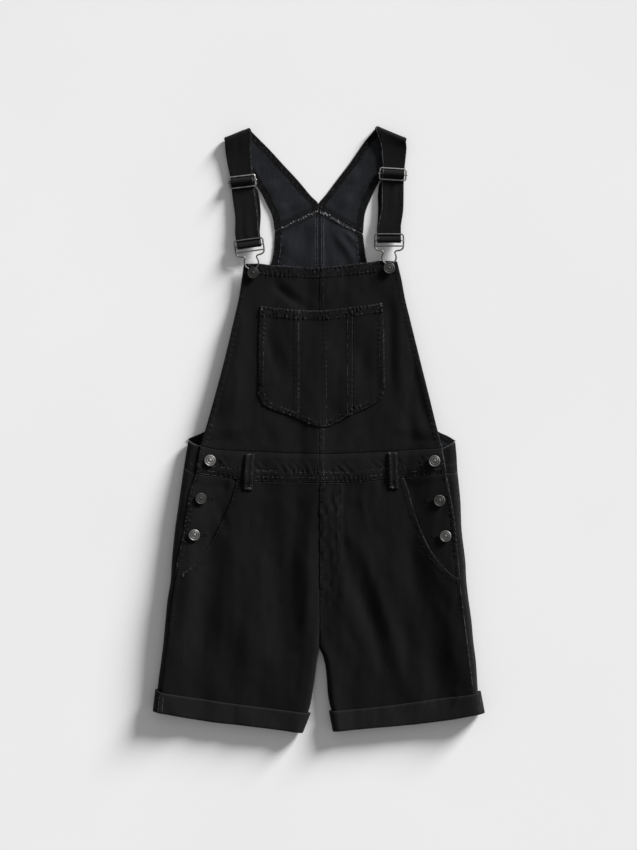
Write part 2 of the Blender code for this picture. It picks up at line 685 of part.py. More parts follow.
def wire(name, points, radius, collection, closed=False):
    """A round wire through the points, as a closed mesh."""
    curve = bpy.data.curves.new(name, "CURVE")
    curve.dimensions = "3D"
    curve.bevel_depth = radius * MM
    curve.bevel_resolution = 2
    curve.use_fill_caps = not closed
    spline = curve.splines.new("POLY")
    spline.points.add(len(points) - 1)
    for slot, point in zip(spline.points, points):
        slot.co = (*(point * MM), 1.0)
    spline.use_cyclic_u = closed
    guide = bpy.data.objects.new(name + "_guide", curve)
    collection.objects.link(guide)
    bpy.context.view_layer.update()
    depsgraph = bpy.context.evaluated_depsgraph_get()
    mesh = bpy.data.meshes.new_from_object(guide.evaluated_get(depsgraph))
    bm = bmesh.new()
    bm.from_mesh(mesh)
    bmesh.ops.remove_doubles(bm, verts=bm.verts, dist=0.00001)
    bmesh.ops.recalc_face_normals(bm, faces=bm.faces)
    bm.to_mesh(mesh)
    bm.free()
    mesh.shade_smooth()
    bpy.data.objects.remove(guide)
    return mesh


def joined(name, meshes, slot, collection, cutters):
    """One solid from several meshes, by Boolean union."""
    base = new_object(name, meshes[0], collection, slot)
    for number, mesh in enumerate(meshes[1:], 1):
        part = new_object("%s_part_%d" % (name, number), mesh, cutters, slot)
        part.hide_render = True
        part.display_type = "WIRE"
        union = base.modifiers.new("Join %d" % number, "BOOLEAN")
        union.operation = "UNION"
        union.object = part
    return base


def rounded_frame(half_x, half_y, corner):
    """Points of a rectangle with round corners, anticlockwise."""
    points = []
    for turn, (sx, sy) in enumerate(((1, 1), (-1, 1), (-1, -1), (1, -1))):
        for i in range(3):
            angle = math.pi / 2 * (turn + i / 2)
            points.append((sx * (half_x - corner) + corner * math.cos(angle),
                           sy * (half_y - corner) + corner * math.sin(angle)))
    return points


def sliders(collection, cutters):
    half_x, half_y = SLIDER_HALF
    for side in SIDES:
        place = SLIDER[side]
        frame = rounded_frame(half_x - WIRE, half_y - WIRE, 2.2)
        frame_mesh = wire("slider_frame", [placed(p, place, SLIDER_Z) for p in frame], WIRE,
                          collection, closed=True)
        ends = [(-half_x - 1.2, 0.0), (half_x + 1.2, 0.0)]
        bar_mesh = wire("slider_bar", [placed(p, place, SLIDER_Z) for p in ends], BAR, collection)
        joined("slider_" + side, [frame_mesh, bar_mesh], "nickel", collection, cutters)


def hooks(collection, cutters):
    radius, centre_y = KEYHOLE
    foot = [(radius * math.cos(a), centre_y + radius * math.sin(a))
            for a in (math.radians(d) for d in (0, -30, -60, -90))]
    half = HOOK_OUTLINE[1:] + foot
    outline = half + [(-x, y) for x, y in reversed(half[:-1])]
    for side in SIDES:
        place, height = HOOK_BAR[side], hook_height(side)
        frame = wire("hook_frame", [placed(p, place, height) for p in outline], WIRE, collection,
                     closed=True)
        meshes = [frame]
        for y, half_x in ((-HOOK_STEP, HOOK_HALF), (-HOOK_PITCH, HOOK_HALF - 0.1)):
            ends = [(-half_x, y), (half_x, y)]
            meshes.append(wire("hook_bar", [placed(p, place, height) for p in ends], WIRE * 0.9,
                               collection))
        joined("hook_" + side, meshes, "nickel", collection, cutters)


def turned(name, profile, location, collection):
    """A turned button: its profile as (radius, height), outer side first, top to bottom."""
    mesh = bpy.data.meshes.new(name)
    points = [(radius * MM, 0.0, height * MM) for radius, height in profile]
    mesh.from_pydata(points, [(i, i + 1) for i in range(len(points) - 1)], [])
    button = new_object(name, mesh, collection, "pewter")
    screw = button.modifiers.new("Turn", "SCREW")
    screw.steps = 16
    screw.render_steps = 16
    screw.use_merge_vertices = True
    screw.merge_threshold = 0.00001
    screw.use_smooth_shade = True
    button.location = location * MM
    return button


def button_profile(shank):
    """A domed head with a raised rim and a plain boss, on a shank of the given height."""
    radius = HEAD_RADIUS
    return [(0.0, shank + 2.6), (3.0, shank + 2.5), (4.6, shank + 1.9), (6.2, shank + 2.2),
            (radius - 0.6, shank + 2.3), (radius, shank + 1.6), (radius - 0.3, shank + 0.6),
            (radius - 1.6, shank), (SHANK_RADIUS, shank), (SHANK_RADIUS, 0.0), (0.0, 0.0)]


def surface_below(side, number, x, y):
    """Height of the cloth under a side button."""
    return front_height(x, y) + (BAND_RISE if number == 1 else -LAYER)


def side_buttons(collection):
    reach = HEAD_RADIUS - 0.5
    for side in SIDES:
        for number, (x, y) in enumerate(SIDE_BUTTONS[side], 1):
            ahead = surface_below(side, number, x + reach, y) - surface_below(side, number, x - reach, y)
            above = surface_below(side, number, x, y + reach) - surface_below(side, number, x, y - reach)
            normal = Vector((-ahead, -above, 2 * reach)).normalized()
            base = Vector((x, y, surface_below(side, number, x, y))) + normal * (SEAM_GAP + 0.05)
            name = "side_button_%s_%d" % (side, number)
            button = turned(name, button_profile(1.0), base, collection)
            button.rotation_euler = normal.to_track_quat("Z", "Y").to_euler()


def bib_buttons(collection):
    for side in SIDES:
        x, y = BIB_BUTTON[side]
        base = max(front_height(x + dx, y + dy) for dx in (-3, 3) for dy in (-3, 3)) + SEAM_GAP
        shank = hook_height(side) + WIRE + SEAM_GAP - base
        turned("bib_button_" + side, button_profile(shank), Vector((x, y, base)), collection)


def main():
    for thing in list(bpy.data.objects):
        bpy.data.objects.remove(thing)
    parts = bpy.data.collections.new(NAME)
    cutters = bpy.data.collections.new("Cutters")
    bpy.context.scene.collection.children.link(parts)
    bpy.context.scene.collection.children.link(cutters)
    back_panels(parts)
    back_bibs(parts)
    front_panels(parts)
    hip_yokes(parts)
    waistbands(parts)
    belt_loops(parts)
    bibs(parts)
    chest_pocket(parts)
    cuffs(parts)
    straps(parts)
    sliders(parts, cutters)
    hooks(parts, cutters)
    side_buttons(parts)
    bib_buttons(parts)


main()
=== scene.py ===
"""Black denim shortalls laid flat: fine cloth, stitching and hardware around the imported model.

Tables are in millimetres, in the model's own frame: +Y towards the straps, +Z up. Left and right
are as seen from above.
"""
import math

import bpy
import numpy as np
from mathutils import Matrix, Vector
from mathutils.bvhtree import BVHTree


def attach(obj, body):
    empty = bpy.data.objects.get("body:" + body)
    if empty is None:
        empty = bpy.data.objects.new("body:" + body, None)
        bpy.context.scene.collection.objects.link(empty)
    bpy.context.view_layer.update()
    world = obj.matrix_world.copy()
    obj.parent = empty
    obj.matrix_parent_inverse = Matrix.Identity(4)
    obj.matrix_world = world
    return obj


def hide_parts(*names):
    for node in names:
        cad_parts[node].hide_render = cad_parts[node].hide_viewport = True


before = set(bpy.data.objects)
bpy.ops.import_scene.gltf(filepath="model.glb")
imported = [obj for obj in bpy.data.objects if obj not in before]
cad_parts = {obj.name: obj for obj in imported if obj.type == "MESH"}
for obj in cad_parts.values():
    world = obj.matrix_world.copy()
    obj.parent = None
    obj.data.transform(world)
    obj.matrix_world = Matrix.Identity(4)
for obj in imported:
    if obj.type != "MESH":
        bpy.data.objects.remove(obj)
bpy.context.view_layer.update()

MM = 0.001
SIDES = ("left", "right")
SIGN = {"left": -1.0, "right": 1.0}

# Cloth: its thicknesses, the gap between layers, and how far pieces rise above the ones below
PLY = 1.2
BAND = 2.2
CUFF = 2.3
STRAP = 1.8
SEAM_GAP = 0.35
LAYER = PLY + SEAM_GAP
BAND_RISE = BAND - PLY
POCKET_PLY = 0.8
POCKET_RISE = POCKET_PLY + SEAM_GAP + 0.15

# Side folds and inner leg folds
FOLD_WIDTH = 10.0
INSEAM_WIDTH = 9.0
SIDE_PUFF = 80.0
INSEAM_PUFF = 34.0
INSEAM_HEIGHT = 16.0
INSEAM_SPLIT = 0.5
CROTCH_LOW = -335.0
CROTCH_HIGH = -280.0
CUFF_TUCK = CUFF + 0.45
CUFF_RISE = CUFF + 1.1
TUCK_RUN = 14.0
TUCK_LEAD = 4.0
PLACKET_LAP = 12.0
MOUTH_LAP = 12.0

# Hardware
WIRE = 1.15
BAR = 1.0
SLIDER_HALF = (20.0, 9.2)
SLIDER_Z = 7.55
HOOK_HALF = 20.6
HEAD_RADIUS = 8.4
SHANK_RADIUS = 2.6
SIDE_SHANK = 1.0
PIN_END = 0.9
KNOB = 1.45
ROUND_SIDES = 16
BAR_SIDES = 14
SLIDER_TARNISH = (0.0, 0.0, 0.0, 0.0)
HOOK_TARNISH = (0.72, 0.2, 0.6)

# Sewing: length and pitch of stitches, half the width of a thread and of a tack's thread, how strong
# the lighter crests (wear and painted highlight) and the painted shade of the puckers beside a row are,
# and the height that stitches drop from
STITCH = 2.5
PITCH = 3.3
THREAD = 0.34
TACK_THREAD = 0.36
PUCKER_WEAR_AND_SHADING = 1.7
DROP_FROM = 80.0

# The seam down the middle of the front
MIDDLE = 1.0
HALF_GAP = SEAM_GAP / 2

# Outer silhouette of the shorts, rows of (y, x), hem first
BODY = {
    "left": [(-440, -239.5), (-407, -236.3), (-390, -234.2), (-364, -231.8), (-335, -227.7),
             (-306, -224.3), (-277, -221.6), (-248, -218.7), (-219, -214.0), (-190, -212.3),
             (-146, -207.8), (-103, -201.7), (-59, -195.5), (-38, -192.3), (-16, -188.5)],
    "right": [(-440, 238.5), (-409, 235.0), (-390, 231.6), (-378, 229.9), (-360, 228.8),
              (-335, 227.0), (-306, 223.3), (-277, 220.7), (-248, 216.6), (-219, 213.3), (-190, 211.7),
              (-146, 206.5), (-103, 204.7), (-59, 200.4), (-38, 199.2), (-16, 197.2)],
}

# Free side edge of the bib, rows of (y, x), waist first
BIB_EDGE = {
    "left": [(-64, -176.6), (-23, -169.9), (-1.4, -163.8), (42, -151.5), (100, -136.2),
             (158, -122.5), (187, -116.0), (216, -111.5), (240, -107.9)],
    "right": [(-64, 184.0), (-29, 178.6), (-1.4, 171.2), (42, 160.8), (100, 146.4),
              (158, 132.1), (187, 125.0), (216, 119.6), (243, 113.2)],
}

# Placket edge above, outer leg seam below, rows of (y, x), hem first
SIDE_SEAM = {
    "left": [(-440, -234.0), (-378, -227.6), (-203, -205.8), (-195, -204.9), (-160, -197.5),
             (-120, -190.8), (-87, -185.0), (-68, -178.3), (-64, -176.6), (-23, -169.9)],
    "right": [(-440, 231.5), (-383, 225.5), (-223, 205.3), (-212, 203.6), (-162, 198.7),
              (-128, 195.3), (-94, 189.5), (-67, 184.4), (-62, 183.7), (-29, 178.6)],
}

# Hip pocket mouth, rows of (y, x), foot first
MOUTH = {
    "left": [(-206.6, -194.0), (-198.7, -182.4), (-187.0, -170.8), (-171.7, -159.2),
             (-150.1, -147.6), (-124.7, -136.0), (-100.0, -125.0), (-81.8, -120.1),
             (-70.0, -116.0)],
    "right": [(-214.2, 198.7), (-210.2, 191.7), (-198.7, 180.1), (-185.0, 168.5),
              (-166.8, 156.9), (-145.0, 147.0), (-116.7, 137.0), (-87.0, 128.8),
              (-70.0, 122.5)],
}
MOUTH_FOOT = {"left": -213.0, "right": -219.5}

# Inner leg fold, rows of (y, x), hem first; above the crotch it is the middle seam
SEAM_HEIGHTS = (-316, -300, -70, 320)
INSEAM = {
    "left": [(-440, -27.0), (-408, -14.9), (-400, -12.4), (-380, -8.8), (-358, -5.4),
             (-340, -3.2), (-327, -1.2), *((y, MIDDLE - HALF_GAP) for y in SEAM_HEIGHTS)],
    "right": [(-440, 24.6), (-407, 18.1), (-394, 14.8), (-380, 12.8), (-363, 11.7), (-343, 9.6),
              (-327, 5.6), *((y, MIDDLE + HALF_GAP) for y in SEAM_HEIGHTS)],
}

# Cross lines, rows of (x, y) from left to right
WAIST_TOP = [(-190.0, -15.6), (-183.4, -20.6), (-170.8, -24.6), (-140.4, -30.4), (0.3, -36.2),
             (60.0, -34.6), (126.4, -31.0), (178.6, -27.6), (198.7, -18.5)]
WAIST_LOW = [(-196.0, -55.0), (-175.2, -64.5), (-125.9, -71.8), (-99.8, -75.4), (1.7, -77.6),
             (53.9, -76.8), (103.2, -71.8), (154.0, -66.7), (184.0, -63.4), (201.0, -62.2)]
BIB_TOP = [(-108.0, 238.7), (-87.0, 239.2), (-66.4, 236.9), (1.7, 234.2), (68.4, 240.7),
           (88.7, 243.2), (113.4, 242.2)]
CUFF_TOP = {
    "left": [(-236.1, -375.6), (-223.9, -380.3), (-136.6, -394.4), (-86.7, -401.1),
             (-13.2, -410.3)],
    "right": [(14.5, -407.2), (61.2, -403.5), (118.3, -396.9), (168.2, -389.5),
              (223.2, -381.9), (233.2, -378.4)],
}
CUFF_FOOT = {
    "left": [(-240.0, -407.2), (-223.7, -410.6), (-161.5, -421.9), (-103.2, -428.6),
             (-53.4, -435.0), (-22.9, -439.1)],
    "right": [(20.6, -436.9), (68.4, -432.4), (139.9, -426.0), (193.1, -418.8),
              (223.2, -412.9), (240.0, -409.5)],
}
CUFF_OUTER = {"left": [(-407.2, -240.0), (-375.6, -236.1)],
              "right": [(-409.5, 240.0), (-378.4, 234.0)]}
CUFF_INNER = {"left": [(-439.1, -22.9), (-411.5, -11.9)],
              "right": [(-436.9, 20.2), (-406.9, 14.5)]}
CUFF_SEAM = {"left": -228.0, "right": 231.0}
# Waist end and cuff end of the leg panels
PANEL_TOP = [(x, y - SEAM_GAP) for x, y in WAIST_LOW]
PANEL_FOOT = {side: [(x, y + 1.6) for x, y in CUFF_FOOT[side]] for side in SIDES}
PANEL_LENGTH = 365.0
BAND_HEIGHT = 40.0
CUFF_HEIGHT = 30.0

# Chest pocket outline
POCKET_SIDE = {"left": [(34, -88.6), (56, -87.3), (130, -86.9), (178, -84.8)],
               "right": [(39, 97.0), (61, 95.8), (97, 94.7), (164, 93.8), (182, 92.1)]}
POCKET_TOP = [(-85.0, 177.6), (-42.6, 173.1), (2.3, 171.4), (43.9, 175.6), (82.2, 180.7),
              (92.2, 182.3)]
POCKET_FOOT = [(-88.5, 56.0), (-84.2, 43.0), (-79.3, 34.1), (-40.0, 18.5), (5.7, 2.5),
               (45.0, 19.5), (85.5, 39.1), (92.5, 49.0), (97.0, 62.0)]
POCKET_SEAMS = (-37.6, 49.2)
PEN_SLOT = (5.2, 11.0)

# Folds of the back's inside, above the bib
INSIDE_CREASES = [
    ([(22, 284), (40, 262), (54, 238)], 6.5, 2.1),
    ([(36, 292), (60, 262)], 5.0, 1.2),
    ([(-22, 294), (-50, 250)], 8.0, 2.2),
    ([(-42, 278), (-58, 240)], 5.0, 1.2),
    ([(16, 274), (20, 236)], 5.0, 0.9),
    ([(-18, 280), (-22, 236)], 7.0, -0.8),
]

# Hem, middle band and yoke band of the back bib
BACK_HEM = 11.0
BACK_BAND = 6.5
YOKE_BAND = 6.0

# The legs are a shade darker than the bib, and the bib's left edge stands off the back
LEG_SHADE = -0.15
EDGE_LIFT = 4.0

# Uneven pale stitches along the yoke seam: distance above it, pitch, scatter and length of each row
YOKE_ROWS = {"left": [(-1.0, 1.8, 1.7, 3.2), (2.4, 4.5, 1.4, 2.4), (7.0, 5.5, 1.5, 1.8)],
             "right": [(-1.4, 0.85, 2.4, 4.4), (2.2, 1.9, 1.8, 3.0), (7.5, 2.8, 1.8, 2.4)]}

# Back bib: armhole edge, rows of (y, x) from the waist up, and the pointed yoke seam
ARMHOLE = {
    "left": [(-14.5, -190.0), (-2.3, -163.6), (20, -148.0), (50, -134.0), (100, -113.0),
             (150, -96.0), (200, -81.0), (245, -67.7), (262, -65.0), (287, -63.6)],
    "right": [(-17.4, 198.9), (-10.2, 187.0), (-2.9, 172.0), (20, 155.0), (50, 139.0),
              (100, 116.0), (150, 98.0), (200, 82.0), (245, 68.9), (254, 67.3), (283, 63.9)],
}
YOKE_SEAM = {"left": [(-63.7, 287.0), (0.2, 318.0)], "right": [(0.2, 318.0), (64.0, 282.6)]}

# Height of the front's upper skin at the side folds and at the middle, rows from the hem up
HEIGHTS = [(-440, 19.0, 13.5), (-380, 20.5, 14.0), (-250, 24.5, 14.5), (-150, 24.5, 14.5),
           (-60, 22.0, 14.0), (-16, 18.0, 12.5), (30, 13.0, 11.2), (100, 10.6, 10.2),
           (245, 9.2, 9.4)]

# Folds of the front: the points of each crease, its half width and its height
MAIN_CREASES = [
    ([(-62, 210), (-24, 178)], 9.0, -1.5),
    ([(-96, 190), (-98, 95)], 8.0, -1.3),
    ([(115, 205), (119, 40)], 9.0, 1.6),
    ([(-71, 158), (-60, 110), (-42, 66)], 9.0, -0.8),
    ([(139, 38), (147, -18)], 8.0, 1.6),
    ([(-34, -88), (-38, -200), (-31, -318)], 11.0, -2.5),
    ([(-14, -95), (-15, -200), (-12, -290)], 9.0, 1.7),
    ([(48, -88), (63, -190), (82, -277), (110, -378)], 13.0, -2.6),
    ([(150, -160), (178, -250), (204, -378)], 14.0, 2.6),
    ([(168, -222), (192, -280)], 8.0, -1.8),
    ([(-150, -235), (-168, -330)], 13.0, -2.1),
    ([(-184, -215), (-204, -350)], 11.0, 2.2),
]
FINE_CREASES = [
    ([(-112, 170), (-122, 60)], 6.0, 0.7),
    ([(-66, 205), (-36, 183)], 4.5, -0.7),
    ([(-52, 216), (-30, 200)], 5.0, 0.5),
    ([(100, 190), (104, 60)], 5.0, -0.6),
    ([(133, 110), (150, 20)], 5.0, -0.7),
    ([(20, -40), (27, -70)], 3.0, 0.5),
    ([(-50, -42), (-42, -70)], 3.5, 0.6),
    ([(-68, -44), (-62, -68)], 3.0, 0.5),
    ([(-20, -45), (-8, -70)], 2.6, 0.6),
    ([(-150, -95), (-128, -160)], 6.0, -0.7),
    ([(-168, -80), (-150, -76)], 3.0, 0.5),
    ([(60, -92), (72, -150)], 4.5, 0.7),
    ([(38, -100), (46, -190)], 5.0, 0.5),
    ([(-70, -100), (-84, -230)], 9.0, 0.6),
    ([(-100, -260), (-108, -372)], 10.0, 0.8),
    ([(-60, -300), (-52, -390)], 9.0, -0.8),
    ([(120, -240), (140, -372)], 9.0, -0.8),
    ([(30, -262), (62, -330)], 7.0, -0.8),
    ([(-20, -268), (-58, -320)], 7.0, -0.7),
    ([(70, -330), (66, -390)], 8.0, 0.8),
]

SOFT_FOLDS = [
    ([(-66, -96), (-64, -220), (-56, -345)], 20.0, -3.8),
    ([(-116, -110), (-114, -230), (-106, -350)], 24.0, 3.2),
    ([(-36, -110), (-38, -200), (-33, -310)], 12.0, 0.8),
    ([(-170, -200), (-180, -372)], 16.0, -1.6),
    ([(33, -104), (35, -160), (46, -205), (80, -298), (98, -376)], 10.0, -2.2),
    ([(54, -104), (58, -160), (72, -205), (106, -298), (124, -376)], 12.0, 3.7),
    ([(124, -150), (148, -260), (168, -376)], 13.0, -1.0),
    ([(170, -225), (192, -285)], 8.0, 0.9),
    ([(150, -170), (178, -250), (204, -370)], 14.0, -0.8),
    ([(-68, 222), (-62, 206), (-40, 187), (-12, 170)], 5.0, -0.75),
    ([(-55, 220), (-50, 208), (-30, 194), (-4, 181)], 5.0, 0.4),
    ([(-78, 152), (-68, 108), (-54, 66)], 7.0, -1.6),
    ([(-60, 150), (-48, 100)], 8.0, 0.8),
    ([(-108, 120), (-128, 10)], 11.0, 1.2),
    ([(-72, 8), (-76, -26)], 9.0, -1.0),
    ([(60, 130), (66, 60)], 9.0, -0.9),
    ([(20, 150), (16, 50)], 10.0, 0.8),
    ([(106, 170), (106, 60)], 7.0, -1.0),
    ([(132, 90), (140, 0)], 8.0, -1.3),
    ([(60, 0), (64, -30)], 10.0, 0.9),
    ([(128, 24), (136, -22)], 8.0, -1.0),
    ([(150, 44), (160, 0)], 6.0, -0.9),
]

SIDE_BUTTONS = {"left": [(-157.2, -45.5), (-170.5, -100.2), (-179.8, -152.5)],
                "right": [(166.5, -46.4), (173.9, -103.1), (182.6, -154.4)]}
BIB_BUTTON = {"left": (-95.1, 225.3), "right": (101.6, 232.4)}
BELT_LOOP = {"left": ((-99.2, -35.5), (-102.2, -87.7)), "right": ((106.3, -33.5), (108.3, -86.0))}
BAND_ROWS = (1.4, 7.2, 14.5, 16.6)
BAND_STEP = 0.7
LOOP_WIDTH = 13.5
LOOP_THICK = 2.0

# Fly: its turned stitch line, rows of (y, x), foot first
FLY = [(-236.0, 3.0), (-225.0, 11.0), (-212.0, 17.0), (-204.4, 21.5), (-197.2, 28.5),
       (-188.0, 32.6), (-178.0, 33.6), (-130.0, 33.7), (-79.0, 33.6)]

# Straps: back stretch from the yoke seam to the shoulder, outer edge and neck edge of each section
BACK_STRAP = {
    "left": [(-63.8, 287.5, 0.0, 318.5), (-67.5, 309.0, -0.6, 327.0), (-74.1, 323.3, -12.0, 338.5),
             (-84.0, 343.0, -30.0, 360.0), (-98.0, 364.5, -50.0, 381.5),
             (-116.0, 391.0, -72.0, 405.5)],
    "right": [(64.1, 283.2, 0.4, 318.5), (67.0, 312.0, -0.1, 327.0), (74.5, 332.1, 12.0, 341.5),
              (84.5, 353.0, 28.0, 363.0), (97.0, 373.5, 46.0, 386.5), (112.5, 398.0, 66.0, 415.7)],
}
SHOULDER = {"left": (-137.9, 421.4, -99.8, 436.4), "right": (127.9, 420.6, 83.4, 439.05)}
FRONT_STRAP = {
    "left": [(-134.9, 401.0, -97.3, 405.0, 6.4), (-131.7, 381.5, -96.2, 385.7, 5.3)],
    "right": [(126.9, 405.5, 88.5, 412.0, 6.4), (125.3, 388.5, 90.6, 391.0, 5.3)],
}
SLIDER = {"left": (-110.6, 357.9, 6.8), "right": (107.3, 368.6, -3.5)}
HOOK_BAR = {"left": (-101.8, 273.8, 7.9), "right": (101.6, 281.4, 0.0)}
STRAP_HALF = {"left": 16.9, "right": 16.4}
STRAP_WIDER = 0.8
STRAP_HEM = 7.5
RETURN_SHIFT = {"left": 4.5, "right": -4.5}
ROLL = 4.2
ROLL_PULL = 1.6
SHIN = STRAP / 2 + 0.3

# Strap over the slider and the hook: distance above the bar, and height from the bar's middle
OVER_SLIDER = [(13.0, -2.35), (8.1, -2.4), (6.0, -1.3), (3.75, 2.55), (2.1, 4.05), (0.0, 4.5),
               (-2.1, 4.05), (-3.75, 2.55), (-6.0, -1.3), (-8.1, -2.4), (-13.0, -2.35)]
HOOK_STEP = 9.0
HOOK_PITCH = 17.0
HOOK_CALM = 24.0
OVER_HOOK = [(12.0, -2.6), (3.0, -2.45), (0.0, -2.45), (-1.3, -2.05), (-7.6, 2.15)]

# Wire hook, right half, from its top bar down to the keyhole's foot
HOOK_OUTLINE = [(0.0, 0.0), (17.5, 0.0), (20.0, -1.2), (20.6, -3.5), (20.6, -16.5), (19.4, -20.8),
                (15.5, -23.2), (10.5, -24.0), (8.4, -26.3), (9.6, -30.0), (10.2, -34.0),
                (8.9, -38.5), (5.3, -42.5), (4.2, -46.0)]
KEYHOLE = (4.2, -49.0)

# Picture: the photograph is 637 pixels wide and 923.65 mm at the garment
PHOTO_WIDTH = 923.65
CAMERA_POINT = (-0.4, 5.8)
CAMERA_HEIGHT = 3000.0
FILM = 36.0

# Light: one wide soft sun, its bearing from +X towards +Y, and a plain sky
KEY_TURN = 47.0
KEY_RISE = 16.5
KEY_SPREAD = 18.0
KEY_STRENGTH = 7.6
SKY_STRENGTH = 0.312
FLOOR_SIZE = 14.0
FLOOR_DROP = 0.4

# Foot of the fly's lap, and the right edge and foot of the crinkled cloth beside the fly
FLY_FOOT = -234.0
CRINKLE_EDGE = 35.0
CRINKLE_FOOT = -266.0

# Lean of the cuffs' seams, and the distance of their rows from the seam
CUFF_SEAM_LEAN = 0.09
CUFF_SEAM_ROW = 2.9

# Upright rows of the chest pocket, by thread: beside its seams and its pen slot
POCKET_ROW_THREADS = {
    "black_thread": (POCKET_SEAMS[0] + 1.2, POCKET_SEAMS[1] - 1.2, PEN_SLOT[0]),
    "thread": (POCKET_SEAMS[0] + 8.0, POCKET_SEAMS[1] - 7.6, PEN_SLOT[1]),
}

# Worn stripes of the back waistband: share, distance from its top and width
WAIST_WEAR = [(0.8, 0.0, 1.2), (0.25, 29.0, 1.3), (0.3, BAND_HEIGHT, 1.4)]

# Spans of x of the rows at the bib's foot, the band's foot and the bib's top
SEWN_SPANS = {"left": ((-169.0, -1.0), (-174.0, -1.0), (-107.0, -1.0)),
              "right": ((3.0, 176.0), (3.0, 182.0), (3.0, 112.0))}

# Steps of the grids, in fine and in coarse stretches, and steps round the back's and cuffs' turns
FINE_STEP = 1.3
COARSE_STEP = 3.2
NEAR_STEPS = 6
FLAT_STEPS = 40
FOLD_STEPS = 14
LAP_STEPS = 9
CUFF_STEPS = {"under": 50, "face": 90, "fold": 12}

# Grids across and down: length, fine stretches, and their own steps where they have them
PANEL_ROWS = (PANEL_LENGTH, [(0, 8)], 1.6, 2.9)
POCKET_ROWS = (150.0, [(0, 16), (140, 150)], 1.25, 2.4)
GRIDS = {
    "front_left": ((205.0, [(0, 11), (196, 206)]), PANEL_ROWS),
    "front_right": ((205.0, [(0, 11), (168, 206)]), PANEL_ROWS),
    "hip_yoke": ((68.0, [(0, 9)], 1.2, 2.6), (140.0, [(0, 6)], 1.5, 2.4)),
    "waistband": ((178.0, [(0, 8), (170, 178)], 1.2, 2.2), (42.0, [(0, 42)])),
    "bib": ((142.0, [(0, 9), (134, 142)], 1.2, 2.4), (270.0, [(0, 18), (264, 270)], 1.3, 2.5)),
    "chest_pocket_left": ((50.0, [(0, 9), (38, 50)], 1.2, 2.4), POCKET_ROWS),
    "chest_pocket_middle": ((87.0, [(0, 12), (36, 54), (76, 87)], 1.2, 2.4), POCKET_ROWS),
    "chest_pocket_right": ((45.0, [(0, 12), (36, 45)], 1.2, 2.4), POCKET_ROWS),
    "back_bib": ((120.0, [(0, 15), (112, 120)], 1.3, 3.0), (330.0, [(0, 90)], 1.8, 3.6)),
}

# Turned hems: width, rise, sewn rows, pucker, pitch of the puckers, seed, lip and wear
HEMS = {
    "bib_top": (15.0, 0.6, (2.0, 13.6), 0.7, 5.9, 1, 0.5, 0.75),
    "bib_side": (7.5, 0.45, (1.8, 6.4), 0.3, 7.6, 2, 0.5, 1.2),
    "bib_foot": (3.4, 0.0, (2.2,), 0.12, 8.5, 3, 0.1, 0.1),
    "bib_middle": (6.4, 0.4, (5.3,), 0.1, 9.0, 4, 0.35, 1.0),
    "mouth": (8.0, 0.35, (2.0, 7.0), 0.2, 5.5, 5, 0.3, 1.3),
    "placket": (6.0, 0.35, (1.8, 6.0), 0.4, 6.5, 6, 0.5, 1.3),
    "fly_middle": (7.0, 0.0, (2.4,), 0.3, 9.0, 7, 0.0, 0.1),
    "band_end": (5.0, 0.25, (1.7,), 0.2, 9.0, 8, 0.5, 1.6),
    "pocket_top": (13.0, 0.6, (1.8, 11.6), 0.7, 5.6, 9, 0.5, 0.5),
    "pocket_foot": (8.0, 0.3, (2.0, 7.2), 0.55, 5.8, 10, 0.3, 0.7),
    "pocket_side": (8.0, 0.3, (2.0, 7.2), 0.42, 6.0, 11, 0.3, 0.7),
    "armhole": (BACK_HEM, 0.4, (1.8, BACK_HEM - 1.4), 0.3, 9.0, 12, 0.3, 1.0),
}
SIDE_SEAM_ROWS = {"left": (6.0,), "right": (1.8, 6.0)}

# Colours
DENIM_DARK = (0.0020, 0.0020, 0.0023)
DENIM_LIGHT = (0.0110, 0.0105, 0.0118)
# Worn colour of the denim, also its painted highlight on crests, then the near black of painted shade in
# dimples and hollows
DENIM_WORN_AND_HIGHLIGHT = (0.060, 0.060, 0.066)
PAINTED_SHADE_COLOUR = (0.0008, 0.0008, 0.0009)
INSIDE_DARK = (0.0065, 0.0072, 0.0088)
INSIDE_LIGHT = (0.0255, 0.0275, 0.0322)
# Worn colour of the inside, also its painted highlight on crests
INSIDE_WORN_AND_HIGHLIGHT = (0.075, 0.080, 0.088)
CUFF_DARK = (0.0052, 0.0052, 0.0056)
CUFF_LIGHT = (0.0140, 0.0138, 0.0148)
FLOOR_LOW = (0.822, 0.822, 0.822)
FLOOR_HIGH = (0.842, 0.842, 0.842)
SHEEN_TINT = (0.62, 0.66, 0.72, 1.0)

# Pitch of the twill, and the length that a wave texture of scale 1 repeats in
TWILL_PITCH = 0.85
WAVE_LENGTH = 0.314

# Cloth: dark, light and worn colour, which is also the painted highlight on crests, turn of the twill,
# sheen, and the colour where it is turned
DENIMS = {
    "denim": (DENIM_DARK, DENIM_LIGHT, DENIM_WORN_AND_HIGHLIGHT, 0.62, 0.02, None),
    "denim_wrong_side": (INSIDE_DARK, INSIDE_LIGHT, INSIDE_WORN_AND_HIGHLIGHT, -0.62, 0.03, DENIM_DARK),
    "cuff_cloth": (CUFF_DARK, CUFF_LIGHT, DENIM_WORN_AND_HIGHLIGHT, -0.62, 0.02, None),
}

